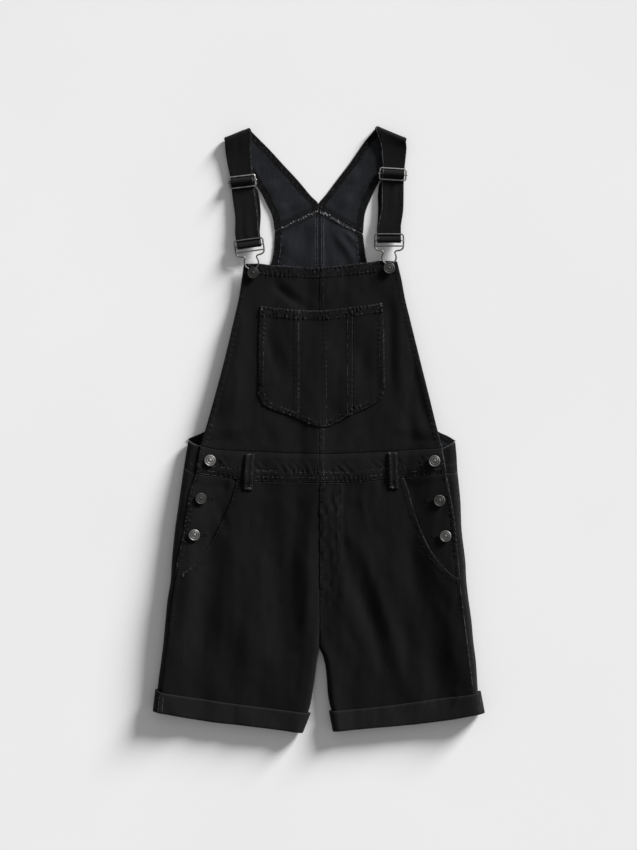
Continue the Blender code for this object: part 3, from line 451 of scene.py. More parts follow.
# Threads: dark and light colour, share of pale stitches, name and slot of the mesh
THREADS = {
    "thread": ((0.0045, 0.0045, 0.005), (0.100, 0.100, 0.109), 0.14, "topstitching", "denim"),
    "black_thread": ((0.002, 0.002, 0.0023), (0.016, 0.016, 0.018), 0.0, "dark_stitching", "denim"),
    "tack_thread": ((0.020, 0.020, 0.022), (0.200, 0.200, 0.210), 0.3, "loop_stitching", "denim"),
    "blue_thread": ((0.030, 0.034, 0.042), (0.130, 0.142, 0.170), 0.35, "back_stitching",
                    "denim_wrong_side"),
    "pale_thread": ((0.04, 0.04, 0.043), (0.36, 0.36, 0.37), 0.32, "pale_stitching", "denim"),
}

# Metal: dark and light colour, roughness where dark and where light, and depth of the scratches
METALS = {
    "nickel": ((0.16, 0.156, 0.152), (0.50, 0.49, 0.472), 0.55, 0.38, 0.4),
    "pewter": ((0.090, 0.089, 0.087), (0.28, 0.276, 0.268), 0.60, 0.42, 0.5),
}

# Buttons: rows of (radius, height above the shank, painted shade in its recess)
BUTTON_HEAD = [(0.0, 2.75, 0.0), (0.7, 2.74, 0.0), (1.5, 2.66, 0.0), (2.1, 2.5, 0.0), (2.5, 2.22, 0.3),
               (2.8, 2.08, 0.6), (3.1, 2.1, 0.6), (3.35, 2.28, 0.2), (3.7, 2.36, 0.0), (4.4, 2.38, 0.0),
               (5.1, 2.36, 0.0), (5.5, 2.28, 0.1), (5.75, 2.1, 0.5), (6.0, 2.02, 0.7), (6.25, 2.1, 0.5),
               (6.5, 2.34, 0.2), (6.9, 2.5, 0.0), (7.3, 2.52, 0.0), (7.75, 2.4, 0.0), (8.1, 2.12, 0.0),
               (8.33, 1.7, 0.0), (8.4, 1.3, 0.1), (8.3, 0.85, 0.3), (8.0, 0.45, 0.5), (7.2, 0.12, 0.8),
               (6.4, 0.0, 1.0), (3.4, 0.0, 1.0), (2.6, -0.1, 1.0)]
BEADS = 40
BEAD_RING = 4.4

# How tarnished each button is: the bib's, then the three side buttons from the top
BUTTON_DULL = {"left": (0.9, 0.1, 0.85, 0.1), "right": (0.7, 0.3, 0.6, 0.05)}

# Skins that stitches drop onto, straps' grids for their own stitches, and the stitches so far
SKINS = {}
STRAP_GRIDS = {}
STITCHES = {kind: [] for kind in THREADS}


# Curves and grids

def lerp(a, b, t):
    return a + (b - a) * t


def ease(t):
    t = np.clip(t, 0.0, 1.0)
    return t * t * (3.0 - 2.0 * t)


def bell(distance, width):
    return np.exp(-(distance / width) ** 2)


def along(table, t, column=1):
    """Value of a table's column at t, on a smooth curve through its rows, straight beyond them."""
    rows = np.array(table, float)
    keys, values = rows[:, 0], rows[:, column]
    last = len(keys) - 1
    chords = np.diff(values) / np.diff(keys)
    slopes = np.empty(last + 1)
    slopes[0], slopes[last] = chords[0], chords[-1]
    slopes[1:last] = (values[2:] - values[:-2]) / (keys[2:] - keys[:-2])
    t = np.asarray(t, float)
    i = np.clip(np.searchsorted(keys, t, side="left") - 1, 0, last - 1)
    width = keys[i + 1] - keys[i]
    u = np.clip((t - keys[i]) / width, 0.0, 1.0)
    rise = values[i] * (2 * u ** 3 - 3 * u ** 2 + 1) + values[i + 1] * (3 * u ** 2 - 2 * u ** 3)
    bend = slopes[i] * (u ** 3 - 2 * u ** 2 + u) + slopes[i + 1] * (u ** 3 - u ** 2)
    beyond = np.minimum(t - keys[0], 0.0) * chords[0] + np.maximum(t - keys[last], 0.0) * chords[-1]
    return rise + width * bend + beyond


def shifted(table, amount):
    return [(row[0], row[1] + amount) for row in table]


def unit(vectors):
    return vectors / np.linalg.norm(vectors, axis=-1, keepdims=True)


def directions(line):
    return unit(np.gradient(line, axis=0))


def polar(radius, angle):
    return radius * math.cos(angle), radius * math.sin(angle)


def run_along(line):
    """Distance along a line at each of its points."""
    return np.concatenate([[0.0], np.cumsum(np.linalg.norm(np.diff(line, axis=0), axis=1))])


def points_at(line, run, places):
    return np.column_stack([np.interp(places, run, line[:, k]) for k in range(line.shape[1])])


def resample(line, pitch):
    """Evenly spaced points on a line."""
    run = run_along(line)
    return points_at(line, run, np.arange(0.5 * pitch, run[-1], pitch))


def stations(length, fine_zones, fine=FINE_STEP, coarse=COARSE_STEP):
    """Fractions across a width, closer together inside the fine zones."""
    places = [0.0]
    while places[-1] < length - 0.6 * fine:
        here = places[-1]
        close = any(low <= here < high for low, high in fine_zones)
        places.append(here + (fine if close else coarse))
    return np.array(places) / places[-1]


def row_y(upper, lower, x, v):
    """How high on the page a row is that runs v of the way from the upper line to the lower."""
    return lerp(along(upper, x), along(lower, x), v)


def row_end(edge, upper, lower, v):
    """Where such a row meets a side edge."""
    x = np.full(np.shape(v), float(edge[len(edge) // 2][1]))
    for _ in range(24):
        x = lerp(x, along(edge, row_y(upper, lower, x, v)), 0.5)
    return x


def patch(left, right, upper, lower, name, mirrored=False):
    """Grids of x and y between two side edges and two cross lines, spaced as GRIDS says."""
    across, down = (stations(*steps) for steps in GRIDS[name])
    if mirrored:
        across = 1.0 - across[::-1]
    v = down[:, None]
    x = lerp(row_end(left, upper, lower, v), row_end(right, upper, lower, v), across[None, :])
    return x, row_y(upper, lower, x, v)


def side_patch(side, outer, inner, upper, lower, name):
    """A patch whose spacing starts at the outer edge."""
    if side == "left":
        return patch(outer, inner, upper, lower, name)
    return patch(inner, outer, upper, lower, name, mirrored=True)


def edge_line(table, low, high, step=3.0):
    """Points of a side edge, from low to high."""
    y = np.arange(low, high + step / 2, step)
    return np.column_stack([along(table, y), y])


def cross_line(table, low, high, step=3.0):
    """Points of a cross line, from left to right."""
    x = np.arange(low, high + step / 2, step)
    return np.column_stack([x, along(table, x)])


def beside(line, distance):
    """The same line, moved to the right-hand side of its own direction."""
    run = directions(line)
    return line + distance * np.column_stack([run[:, 1], -run[:, 0]])


def nearest(line, x, y, in_spans=False):
    """Distance from each point to a line, and how far along the line that is, in mm or in spans."""
    best = np.full(np.shape(x), 1e9)
    run = np.zeros(np.shape(x))
    start = 0.0
    for (ax, ay), (bx, by) in zip(line[:-1], line[1:]):
        length = math.hypot(bx - ax, by - ay)
        t = np.clip(((x - ax) * (bx - ax) + (y - ay) * (by - ay)) / length ** 2, 0.0, 1.0)
        away = np.hypot(x - lerp(ax, bx, t), y - lerp(ay, by, t))
        step = 1.0 if in_spans else length
        run = np.where(away < best, start + t * step, run)
        best = np.minimum(away, best)
        start += step
    return best, run


def ripples(x, y, length, seed, count=9):
    """Smooth uneven waves of about the given length, from about -1 to 1."""
    draw = np.random.default_rng(seed)
    total = 0.0
    for _ in range(count):
        angle, phase = draw.uniform(0, 2 * math.pi, 2)
        pace = 2 * math.pi / (length * draw.uniform(0.7, 1.5))
        total = total + np.sin(pace * (x * math.cos(angle) + y * math.sin(angle)) + phase)
    return total / math.sqrt(count)


# The front's surface

def puff(distance, width):
    """A soft fall from 1 to 0 over the given width."""
    return 0.5 + 0.5 * np.cos(math.pi * np.clip(distance / width, 0.0, 1.0))


def round_off(distance, width, depth):
    """How far a round edge of the given half width and depth lies below its top."""
    near = np.clip(1.0 - distance / width, 0.0, 1.0)
    return depth * (1.0 - np.sqrt(1.0 - near * near))


def crease_height(creases, x, y):
    """Height of a table's creases, each tapered towards its ends."""
    total = np.zeros(np.shape(x))
    for points, width, height in creases:
        away, place = nearest(points, x, y, in_spans=True)
        taper = np.sin(math.pi * np.clip(place / (len(points) - 1), 0.04, 0.96)) ** 0.6
        total += height * taper * bell(away, width)
    return total


def leg_part(y):
    """1 on the legs, 0 above the crotch."""
    return 1.0 - ease((y - CROTCH_LOW) / (CROTCH_HIGH - CROTCH_LOW))


def rim(side, y):
    """The edge that the puffed side is measured from: body below the waist, bib above."""
    body, bib = along(BODY[side], -16.0), along(BIB_EDGE[side], -1.4)
    between = lerp(body, bib, (y + 16.0) / 14.6)
    return np.where(y <= -16.0, along(BODY[side], y),
                    np.where(y >= -1.4, along(BIB_EDGE[side], y), between))


def solid_height(x, y):
    """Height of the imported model's front."""
    x, y = np.asarray(x, float), np.asarray(y, float)
    side_height, middle = along(HEIGHTS, y, 1), along(HEIGHTS, y, 2)
    to_left, to_right = x - rim("left", y), rim("right", y) - x
    swell = puff(to_left, SIDE_PUFF) + puff(to_right, SIDE_PUFF)
    height = middle + (side_height - middle) * swell + crease_height(MAIN_CREASES, x, y)
    fold = np.where(x < MIDDLE, along(INSEAM["left"], y), along(INSEAM["right"], y))
    to_inseam, legs = np.abs(x - fold), leg_part(y)
    height += (INSEAM_HEIGHT - middle) * legs * puff(to_inseam, INSEAM_PUFF)
    below_waist = 1.0 - ease((y + 20.0) / 12.0)
    height -= below_waist * round_off(np.minimum(to_left, to_right), FOLD_WIDTH, side_height / 2)
    height -= legs * round_off(to_inseam, INSEAM_WIDTH, INSEAM_HEIGHT / 2 - INSEAM_SPLIT)
    return height


def front_height(x, y):
    """Height of the dressed front: the solid's, with finer creases and a soft unevenness."""
    inside = np.minimum(x - rim("left", y), rim("right", y) - x)
    calm = ease(inside / 14.0)
    for button_x, button_y in BIB_BUTTON.values():
        calm = calm * (1.0 - bell(np.hypot(x - button_x, y - button_y + 8.0), HOOK_CALM))
    upright = 0.8 * ripples(x, y * 0.3, 44.0, 3)
    broad = 0.55 * ripples(x, y * 0.7, 88.0, 14)
    small = 0.28 * ripples(x, y * 0.5, 19.0, 8) * (0.6 + 0.4 * ripples(x, y, 60.0, 5, 4))
    folds = crease_height(SOFT_FOLDS, x, y) + crease_height(FINE_CREASES, x, y)
    window = ease((y - 5.0) / 45.0) * ease((205.0 - y) / 60.0)
    lift = EDGE_LIFT * bell(x - rim("left", y), 26.0) * window
    return solid_height(x, y) + calm * (upright + broad + small + folds) + lift


# Seams and hems

def crests(wave, above, below):
    """How far a wave rises past one level and falls past another, each at most 1."""
    return np.clip(wave - above, 0.0, 1.0), np.clip(-wave - below, 0.0, 1.0)


def sewn(away, run, depth, pitch, seed):
    """Height and shading of a sewn row: a groove with uneven puckers, whose crests are lighter, partly
    with wear and partly as painted highlight, and whose dimples hold painted shade, below 0.
    """
    swing = 1.6 * np.sin(run / 31.0 + seed) + 1.3 * np.sin(run / 9.0 + 2.0 * seed)
    rope = 0.62 * np.sin(2 * math.pi * run / pitch + swing)
    rope = rope + 0.38 * np.sin(2 * math.pi * run / (0.61 * pitch) - 1.3 * swing + seed)
    rope = rope * (0.75 + 0.45 * np.sin(run / 23.0 + 3.0 * seed))
    lit, dark = crests(rope, 0.35, 0.1)
    height = 1.7 * depth * rope * bell(away, 3.2) - 0.24 * bell(away, 0.9)
    # Lighter crests are partly wear and partly painted highlight; the dimples are painted shade
    return height, PUCKER_WEAR_AND_SHADING * math.sqrt(depth) * (0.6 * lit - 1.2 * dark) * bell(away, 2.2)


def hem(x, y, line, name):
    """Height and shading of the named hem along an edge, with its sewn rows: wear on the edge, and
    crinkles with lighter crests, partly wear and partly painted highlight, and painted shade in their
    hollows.
    """
    width, rise, rows, pucker, pitch, seed, lip, worn = HEMS[name]
    away, run = nearest(line, x, y)
    band = ease((width + 0.7 - away) / 1.4)
    patchy = 0.62 + 0.22 * np.sin(run / 13.0 + 3.0 * seed) + 0.36 * np.sin(run / 1.3 + seed)
    rubbed = (1.15 * bell(away, 0.9) + 0.12 * bell(away - width, 1.0)) * np.maximum(patchy, 0.0)
    crinkle = ripples(x, y, 7.0, seed + 40)
    lit, dark = crests(crinkle, 0.5, 0.4)
    # The crinkles: lighter crests, partly wear and partly painted highlight, and painted shade in their
    # hollows
    parts = [(band * rise - lip * bell(away, 1.1), worn * rubbed),
             (0.35 * pucker * band * crinkle, math.sqrt(pucker) * band * (0.25 * lit - 0.9 * dark))]
    parts += [sewn(away - row, run, pucker, pitch, seed + row) for row in rows]
    return add_up(parts)


def felled(x, y, line, width, rise, rows, seed, ends):
    """Height and shading of a felled seam that lies within width of a line, on both sides of it: wear at
    its edge, and the painted highlights and shade of its rows.
    """
    away, run = nearest(line, x, y)
    height = rise * ease((width + 0.6 - away) / 1.2) * (ease(run / 4.0) if ends else 1.0)
    parts = [(height, 0.12 * bell(away - width, 1.0))]
    parts += [sewn(away - row, run, 0.2, 8.0, seed + row) for row in rows]
    return add_up(parts)


def add_up(parts):
    """The sum of pairs of height and shading: wear and painted highlight above 0, painted shade below 0.
    """
    heights, wears_and_shadings = zip(*parts)
    return sum(heights), np.clip(sum(wears_and_shadings), -1.0, 1.0)


# Meshes

def make_piece(name, points, faces, looks, fields, node=None):
    """A smooth mesh that rides the root, with its looks and values at its points."""
    mesh = bpy.data.meshes.new(name)
    mesh.from_pydata([tuple(p) for p in np.asarray(points) * MM], [], faces)
    mesh.shade_smooth()
    piece = bpy.data.objects.new(name, mesh)
    bpy.context.scene.collection.objects.link(piece)
    for key, values in fields.items():
        field = mesh.attributes.new(key, "FLOAT", "POINT")
        field.data.foreach_set("value", np.asarray(values, np.float32).ravel())
    for look in looks:
        mesh.materials.append(material(look))
    if node:
        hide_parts(node)
    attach(piece, "root")
    return piece


def grid_faces(rows, columns, ring=False, loop=False):
    """Quads of a grid of points, facing up where rows run down and columns run right."""
    i, j = np.meshgrid(np.arange(rows if loop else rows - 1),
                       np.arange(columns if ring else columns - 1), indexing="ij")
    m, k = (i + 1) % rows, (j + 1) % columns
    quads = [i * columns + j, m * columns + j, m * columns + k, i * columns + k]
    return np.stack(quads, axis=-1).reshape(-1, 4).tolist()


def cloth(node, grid, thickness, wear_and_shading, looks=("denim", "denim_wrong_side"),
          turned=0.0, ring=False, offset=-1.0):
    """A thin wall of cloth in place of a node: its outer skin as a grid of points."""
    rows, columns = grid.shape[:2]
    points, faces = grid.reshape(-1, 3), grid_faces(rows, columns, ring)
    # Above 0 the field is wear and painted highlight, below 0 it is painted shade
    fields = {"wear_and_shading": wear_and_shading, "turned": turned + np.zeros((rows, columns))}
    piece = make_piece(node + "_cloth", points, faces, looks, fields, node)
    wall = piece.modifiers.new("Wall", "SOLIDIFY")
    wall.thickness = thickness * MM
    wall.offset = offset
    wall.use_even_offset = True
    wall.material_offset = 1
    SKINS[node] = BVHTree.FromPolygons(points.tolist(), faces)
    if ring:
        grid = np.concatenate([grid, grid[:, :1]], axis=1)
    return piece


def lifted(x, y, height):
    return np.stack([x, y, height], axis=-1)


def front_cloth(node, x, y, parts, rise=0.0, thickness=PLY):
    """A piece of the front: its own heights, and its wear with painted highlights and shade, on the
    front's surface.
    """
    height, wear_and_shading = add_up(parts)
    cloth(node, lifted(x, y, front_height(x, y) + rise + height), thickness, wear_and_shading)


# Materials

class Look:
    """A material in the making. Each helper adds a node and gives its output."""

    def __init__(self, name):
        self.made = bpy.data.materials.new(name)
        self.made.use_nodes = True
        self.tree = self.made.node_tree
        self.shader = self.tree.nodes["Principled BSDF"]

    def fill(self, node, inputs):
        """Each input takes a value, or a link from another node's output."""
        for key, value in inputs.items():
            if isinstance(value, bpy.types.NodeSocket):
                self.tree.links.new(value, node.inputs[key])
            else:
                node.inputs[key].default_value = value

    def node(self, kind, output, inputs, **settings):
        added = self.tree.nodes.new("ShaderNode" + kind)
        for key, value in settings.items():
            setattr(added, key, value)
        self.fill(added, inputs)
        return added.outputs[output]

    def finish(self, **inputs):
        """Connects the surface. Underscores stand for the spaces in an input's name."""
        self.fill(self.shader, {key.replace("_", " "): value for key, value in inputs.items()})
        return self.made

    def place(self, stretch, turn=0.0):
        """Object coordinates, turned about Z and scaled."""
        coords = self.node("TexCoord", "Object", {})
        return self.node("Mapping", "Vector", {"Vector": coords, "Rotation": (0, 0, turn),
                                               "Scale": stretch})

    def noise(self, scale, stretch=(1, 1, 1), detail=3.0, rough=0.55):
        return self.node("TexNoise", "Fac", {"Vector": self.place(stretch), "Scale": scale,
                                             "Detail": detail, "Roughness": rough})

    def waves(self, scale, turn, distortion, detail_scale=1.0, direction="X"):
        inputs = {"Vector": self.place((1, 1, 1), turn), "Scale": scale, "Distortion": distortion,
                  "Detail": 1.0, "Detail Scale": detail_scale}
        return self.node("TexWave", "Fac", inputs, bands_direction=direction)

    def spread(self, value, low, high, to_low=0.0, to_high=1.0):
        return self.node("MapRange", "Result", {"Value": value, "From Min": low, "From Max": high,
                                                "To Min": to_low, "To Max": to_high})

    def combine(self, kind, a, b):
        return self.node("Math", "Value", {0: a, 1: b}, operation=kind)

    def blend(self, share, a, b):
        """A mix of two colours; a Mix node's colours are its inputs 6 and 7 and its output 2."""
        a, b = ((*c, 1.0) if isinstance(c, tuple) else c for c in (a, b))
        return self.node("Mix", 2, {0: share, 6: a, 7: b}, data_type="RGBA")

    def bump(self, height, distance, strength, before=None):
        inputs = {"Height": height, "Strength": strength, "Distance": distance * MM}
        if before is not None:
            inputs["Normal"] = before
        return self.node("Bump", "Normal", inputs)

    def field(self, name):
        """The values at a mesh's points."""
        return self.node("Attribute", "Fac", {}, attribute_name=name)


def denim(name, dark, light, worn, turn, sheen, where_turned):
    """Twill cloth: ribs, slubs along the warp, faint mottling, wear on seams and edges, painted
    highlights on the crests of puckers, and painted shade in dimples and hollows.
    """
    look = Look(name)
    scale = WAVE_LENGTH / (TWILL_PITCH * MM)
    yarns = look.waves(scale * 1.35, 0.06, 1.0, 1.2, "Y")
    ribs = look.combine("MULTIPLY", look.waves(scale, turn, 0.6, 0.6),
                        look.spread(yarns, 0.0, 1.0, 0.55, 1.0))
    slubs = look.noise(1.0, (1500, 90, 300), 2.0)
    mottle = look.noise(22.0, (1.6, 0.5, 1), 5.0, 0.62)
    streaks = look.noise(1.0, (260, 14, 60), 3.0, 0.6)
    grain = look.noise(420.0, (1, 0.6, 1), 3.0, 0.7)
    shade = look.combine("MULTIPLY", look.spread(slubs, 0.3, 0.7), ribs)
    faded = look.combine("ADD", look.spread(mottle, 0.35, 0.7, -0.06, 0.32),
                         look.spread(streaks, 0.35, 0.7, -0.03, 0.08))
    share = look.combine("ADD", look.combine("MULTIPLY", shade, 0.62), faded)
    base = look.blend(share, dark, light)
    if where_turned:
        base = look.blend(look.field("turned"), base, where_turned)
    wear_and_shading = look.field("wear_and_shading")
    # The worn colour stands for wear and for the painted highlight on crests
    rub = look.combine("MULTIPLY", look.spread(wear_and_shading, 0.0, 1.0), look.spread(grain, 0.40, 0.62))
    base = look.blend(rub, base, worn)
    # Painted shade: below 0 the cloth goes towards near black in dimples and hollows; the legs are
    # darkened a little this way too
    base = look.blend(look.spread(wear_and_shading, 0.0, -1.0), base, PAINTED_SHADE_COLOUR)
    normal = look.bump(ribs, 0.22, 0.6, look.bump(slubs, 0.16, 0.5))
    return look.finish(Base_Color=base, Roughness=look.spread(mottle, 0.3, 0.7, 0.82, 0.95),
                       Specular_IOR_Level=0.12, Sheen_Weight=sheen, Sheen_Roughness=0.45,
                       Sheen_Tint=SHEEN_TINT, Normal=normal)


def thread(name, dark, light, *_):
    """Twisted sewing thread."""
    look = Look(name)
    strands = look.waves(700.0, 0.7, 0.8)
    share = look.combine("MULTIPLY", look.field("pale"), look.spread(strands, 0.0, 1.0, 0.6, 1.0))
    rough = look.spread(look.noise(55.0), 0.3, 0.7, 0.55, 0.75)
    return look.finish(Base_Color=look.blend(share, dark, light), Roughness=rough,
                       Specular_IOR_Level=0.12, Sheen_Weight=0.01,
                       Normal=look.bump(strands, 0.08, 0.6))


def metal(name, dark, light, rough_dark, rough_light, scratch):
    """Old plated metal: tarnish in patches, fine scratches, painted shade in recesses, and dull pieces.
    """
    look = Look(name)
    patches = look.noise(240.0, (1, 1, 1), 5.0, 0.65)
    lines = look.noise(900.0, (1.0, 0.12, 1.0), 2.0)
    dull = look.field("dull")
    colour = look.blend(look.spread(patches, 0.3, 0.68), dark, light)
    colour = look.blend(dull, colour, tuple(0.3 * c for c in dark))
    # Painted shade in the recesses: grooves, between the beads, and under the head
    colour = look.blend(look.field("recess_shade"), colour, tuple(0.35 * c for c in dark))
    rough = look.combine("ADD", look.spread(patches, 0.3, 0.7, rough_dark, rough_light),
                         look.combine("MULTIPLY", dull, 0.15))
    normal = look.bump(patches, 0.12, 0.25, look.bump(lines, 0.05, scratch))
    return look.finish(Base_Color=colour, Metallic=1.0, Roughness=rough, Normal=normal)


def paper_floor():
    """Plain pale paper, a little cloudy."""
    look = Look("paper_floor")
    fibre = look.noise(900.0)
    cloudy = look.spread(look.noise(2.2, (1, 1, 1), 2.0), 0.3, 0.7)
    return look.finish(Base_Color=look.blend(cloudy, FLOOR_LOW, FLOOR_HIGH),
                       Roughness=look.spread(fibre, 0.3, 0.7, 0.8, 0.9), Specular_IOR_Level=0.1,
                       Normal=look.bump(fibre, 0.05, 0.2))


def material(name):
    """The named material, made once."""
    title = "dressed_" + name
    for make, table in ((denim, DENIMS), (thread, THREADS), (metal, METALS)):
        if name in table and title not in bpy.data.materials:
            make(title, *table[name])
    return bpy.data.materials[title]


# Stitches

def drop(under, x, y):
    """The highest point of the named skins at (x, y) and its normal, or None."""
    best = None
    for name in under:
        hit, normal, _, _ = SKINS[name].ray_cast(Vector((x, y, DROP_FROM)), Vector((0, 0, -1)))
        if hit is not None and (best is None or hit.z > best[0].z):
            best = (hit, normal if normal.z > 0 else -normal)
    return best


def stitch_ends(under, middle, half):
    """Both ends of a stitch on the named skins and the normal there, or None."""
    ends = [drop(under, *(middle + way * half)) for way in (-1, 1)]
    if None in ends:
        return None
    (a, up), (b, _) = ends
    return a, b, up


def stitch(kind, under, middle, half, width, sink):
    """Adds a stitch across a point, where both its ends find cloth."""
    ends = stitch_ends(under, middle, half)
    if ends:
        STITCHES[kind].append((*ends, width, sink))


def sew(line, under, kind="thread"):
    """Stitches along a line, laid on the highest of the named skins."""
    middles = resample(line, PITCH)
    if len(middles) > 1:
        for middle, run in zip(middles, directions(middles)):
            stitch(kind, under, middle, run * STITCH / 2, THREAD, 0.05)


def bar_tack(x, y, angle, length, under, kind="thread", spacing=0.75, width=2.4):
    """A dense row of short cross stitches."""
    run = np.array(polar(1.0, math.radians(angle)))
    side = np.array([-run[1], run[0]])
    for offset in np.arange(-length / 2, length / 2 + 0.01, spacing):
        stitch(kind, under, np.array([x, y]) + run * offset, side * width / 2, TACK_THREAD, -0.05)


def loose_stitch(draw, lean, short, long):
    """Half of a short stitch across a seam, a little askew."""
    slant = draw.uniform(-lean, lean)
    return np.array([math.sin(slant), math.cos(slant)]) * draw.uniform(short, long)


def loose_tack(x, y, length, scatter, count, under):
    """Uneven pale stitches of a bar tack."""
    draw = np.random.default_rng(int(abs(x)))
    for _ in range(count):
        middle = np.array([x + draw.uniform(-0.5, 0.5) * length, y + draw.uniform(-1, 1) * scatter])
        stitch("tack_thread", under, middle, loose_stitch(draw, 0.8, 0.6, 1.1), THREAD, -0.1)


def stitch_grain():
    """Points and faces of one stitch of length and radius 1: a slim round grain."""
    rings = ((-0.36, 0.8), (0.0, 1.0), (0.36, 0.8))
    sides = 6
    angles = [2 * math.pi * k / sides for k in range(sides)]
    points = [(-0.5, 0.0, 0.0)]
    points += [(place, *polar(radius, angle)) for place, radius in rings for angle in angles]
    points.append((0.5, 0.0, 0.0))
    last = len(points) - 1
    starts = [1 + r * sides for r in range(len(rings))]
    faces = []
    for k in range(sides):
        j = (k + 1) % sides
        faces.append((0, 1 + j, 1 + k))
        faces += [(a + k, a + j, b + j, b + k) for a, b in zip(starts[:-1], starts[1:])]
        faces.append((starts[-1] + k, starts[-1] + j, last))
    return np.array(points), faces


def stitch_mesh(kind):
    """One mesh of all the stitches of a thread."""
    _, _, pale_share, name, slot = THREADS[kind]
    grain, grain_faces = stitch_grain()
    draw = np.random.default_rng(11)
    points, faces, paleness = [], [], []
    for number, (a, b, up, width, sink) in enumerate(STITCHES[kind]):
        worn = 0.5 + 0.5 * math.sin(0.045 * (a.x + a.y) + 0.03 * (a.x - 2.0 * a.y))
        likely = pale_share + 0.4 * worn * worn
        pale = draw.uniform(0.5, 1.0) if draw.uniform() < likely else draw.uniform(0.0, 0.15)
        paleness += [pale] * len(grain)
        run = b - a
        length = run.length * draw.uniform(0.94, 1.06)
        run.normalize()
        across = up.cross(run).normalized()
        rise = run.cross(across)
        across = (across + run * draw.uniform(-0.05, 0.05)).normalized()
        middle = (a + b) / 2 + rise * (width * 0.45 - sink)
        axes = np.array([run * length, across * width, rise * width * 0.8])
        points.append(grain @ axes + np.array(middle))
        faces += [tuple(number * len(grain) + i for i in face) for face in grain_faces]
    make_piece(name, np.concatenate(points), faces, [kind], {"pale": paleness})


# Cloth pieces

def front_edge(side):
    """The front panel's outer edge: the side seam, then the pocket mouth."""
    mouth_y = MOUTH[side][0][0]
    seam = [row for row in SIDE_SEAM[side] if row[0] < mouth_y - 12.0]
    foot = mouth_y - 6.0
    return seam + [(foot, float(along(SIDE_SEAM[side], foot)) - SIGN[side] * 1.5)] + MOUTH[side]


def inward(side, line, distance):
    """A side edge's line, run from the foot up, moved in towards the middle."""
    return beside(line, -SIGN[side] * distance)


def fly(x, y):
    """The fly's lap, its stitch line, and the crinkled cloth beside it."""
    from_middle = x - MIDDLE
    above_foot = ease((y - FLY_FOOT) / 6.0)
    lap = ease((along(FLY, y) + 0.8 - x) / 1.6) * above_foot
    zone = ease((CRINKLE_EDGE - x) / 4.0) * ease((y - CRINKLE_FOOT) / 16.0)
    crinkle = ripples(x * 0.8, y, 9.0, 17) * (0.35 + np.abs(ripples(x, y, 40.0, 18, 4)))
    lit, dark = crests(crinkle, 0.3, 0.2)
    # The crinkles' crests are lighter, partly wear and partly painted highlight, and their hollows hold
    # painted shade
    return [(lap - 0.45 * bell(from_middle, 1.1), 0.16 * bell(from_middle, 1.2)),
            (-0.25 * bell(x - along(FLY, y) + 1.4, 1.0) * above_foot, 0.0),
            (0.3 * zone * crinkle, zone * (0.28 * lit - 0.6 * dark))]


def front_panels():
    waist = cross_line(WAIST_LOW, -200.0, 202.0)
    for side in SIDES:
        x, y = side_patch(side, front_edge(side), INSEAM[side], PANEL_TOP, PANEL_FOOT[side],
                          "front_" + side)
        mouth_y = MOUTH[side][0][0]
        seam = edge_line(SIDE_SEAM[side], -400.0, mouth_y - 4.0)
        middle = edge_line(INSEAM[side], -330.0, -78.0)
        parts = [hem(x, y, edge_line(MOUTH[side], mouth_y, -66.0), "mouth"),
                 (0.0, LEG_SHADE),
                 felled(x, y, seam, 6.5, 0.3, SIDE_SEAM_ROWS[side], 3, True),
                 felled(x, y, waist, 3.0, 0.25, (), 4, False)]
        if side == "right":
            parts += [*fly(x, y), hem(x, y, middle, "fly_middle")]
        else:
            parts.append((-0.5 * bell(nearest(middle, x, y)[0], 1.6), 0.0))
        front_cloth("front_" + side, x, y, parts)


def hip_yokes():
    for side in SIDES:
        inner = shifted(MOUTH[side], -SIGN[side] * MOUTH_LAP)
        foot = [(-300, MOUTH_FOOT[side]), (300, MOUTH_FOOT[side])]
        x, y = side_patch(side, SIDE_SEAM[side], inner, PANEL_TOP, foot, "hip_yoke")
        placket = edge_line(SIDE_SEAM[side], MOUTH_FOOT[side], -62.0)
        outside = SIGN[side] * (x - along(MOUTH[side], y))
        below = along(WAIST_LOW, x) - y
        parts = [hem(x, y, placket, "placket"),
                 (1.2 * ease(outside / 9.0) * ease((16.0 - below) / 14.0), 0.0)]
        parts += [(-0.5 * bell(np.hypot(x - button_x, y - button_y), 8.0), 0.0)
                  for button_x, button_y in SIDE_BUTTONS[side][1:]]
        front_cloth("hip_yoke_" + side, x, y, parts, -LAYER)


def wrap_depth(y):
    """How far the wrapped edge of the back lies below the front's surface."""
    return LAYER * (2.0 - 0.3 * ease((-215.0 - y) / 25.0))


def tuck(side, x, y):
    """How far the back panel rises to lie inside the cuff."""
    above_cuff = y - along(CUFF_TOP[side], x)
    return CUFF_TUCK * ease((TUCK_RUN - above_cuff) / (TUCK_RUN - TUCK_LEAD))


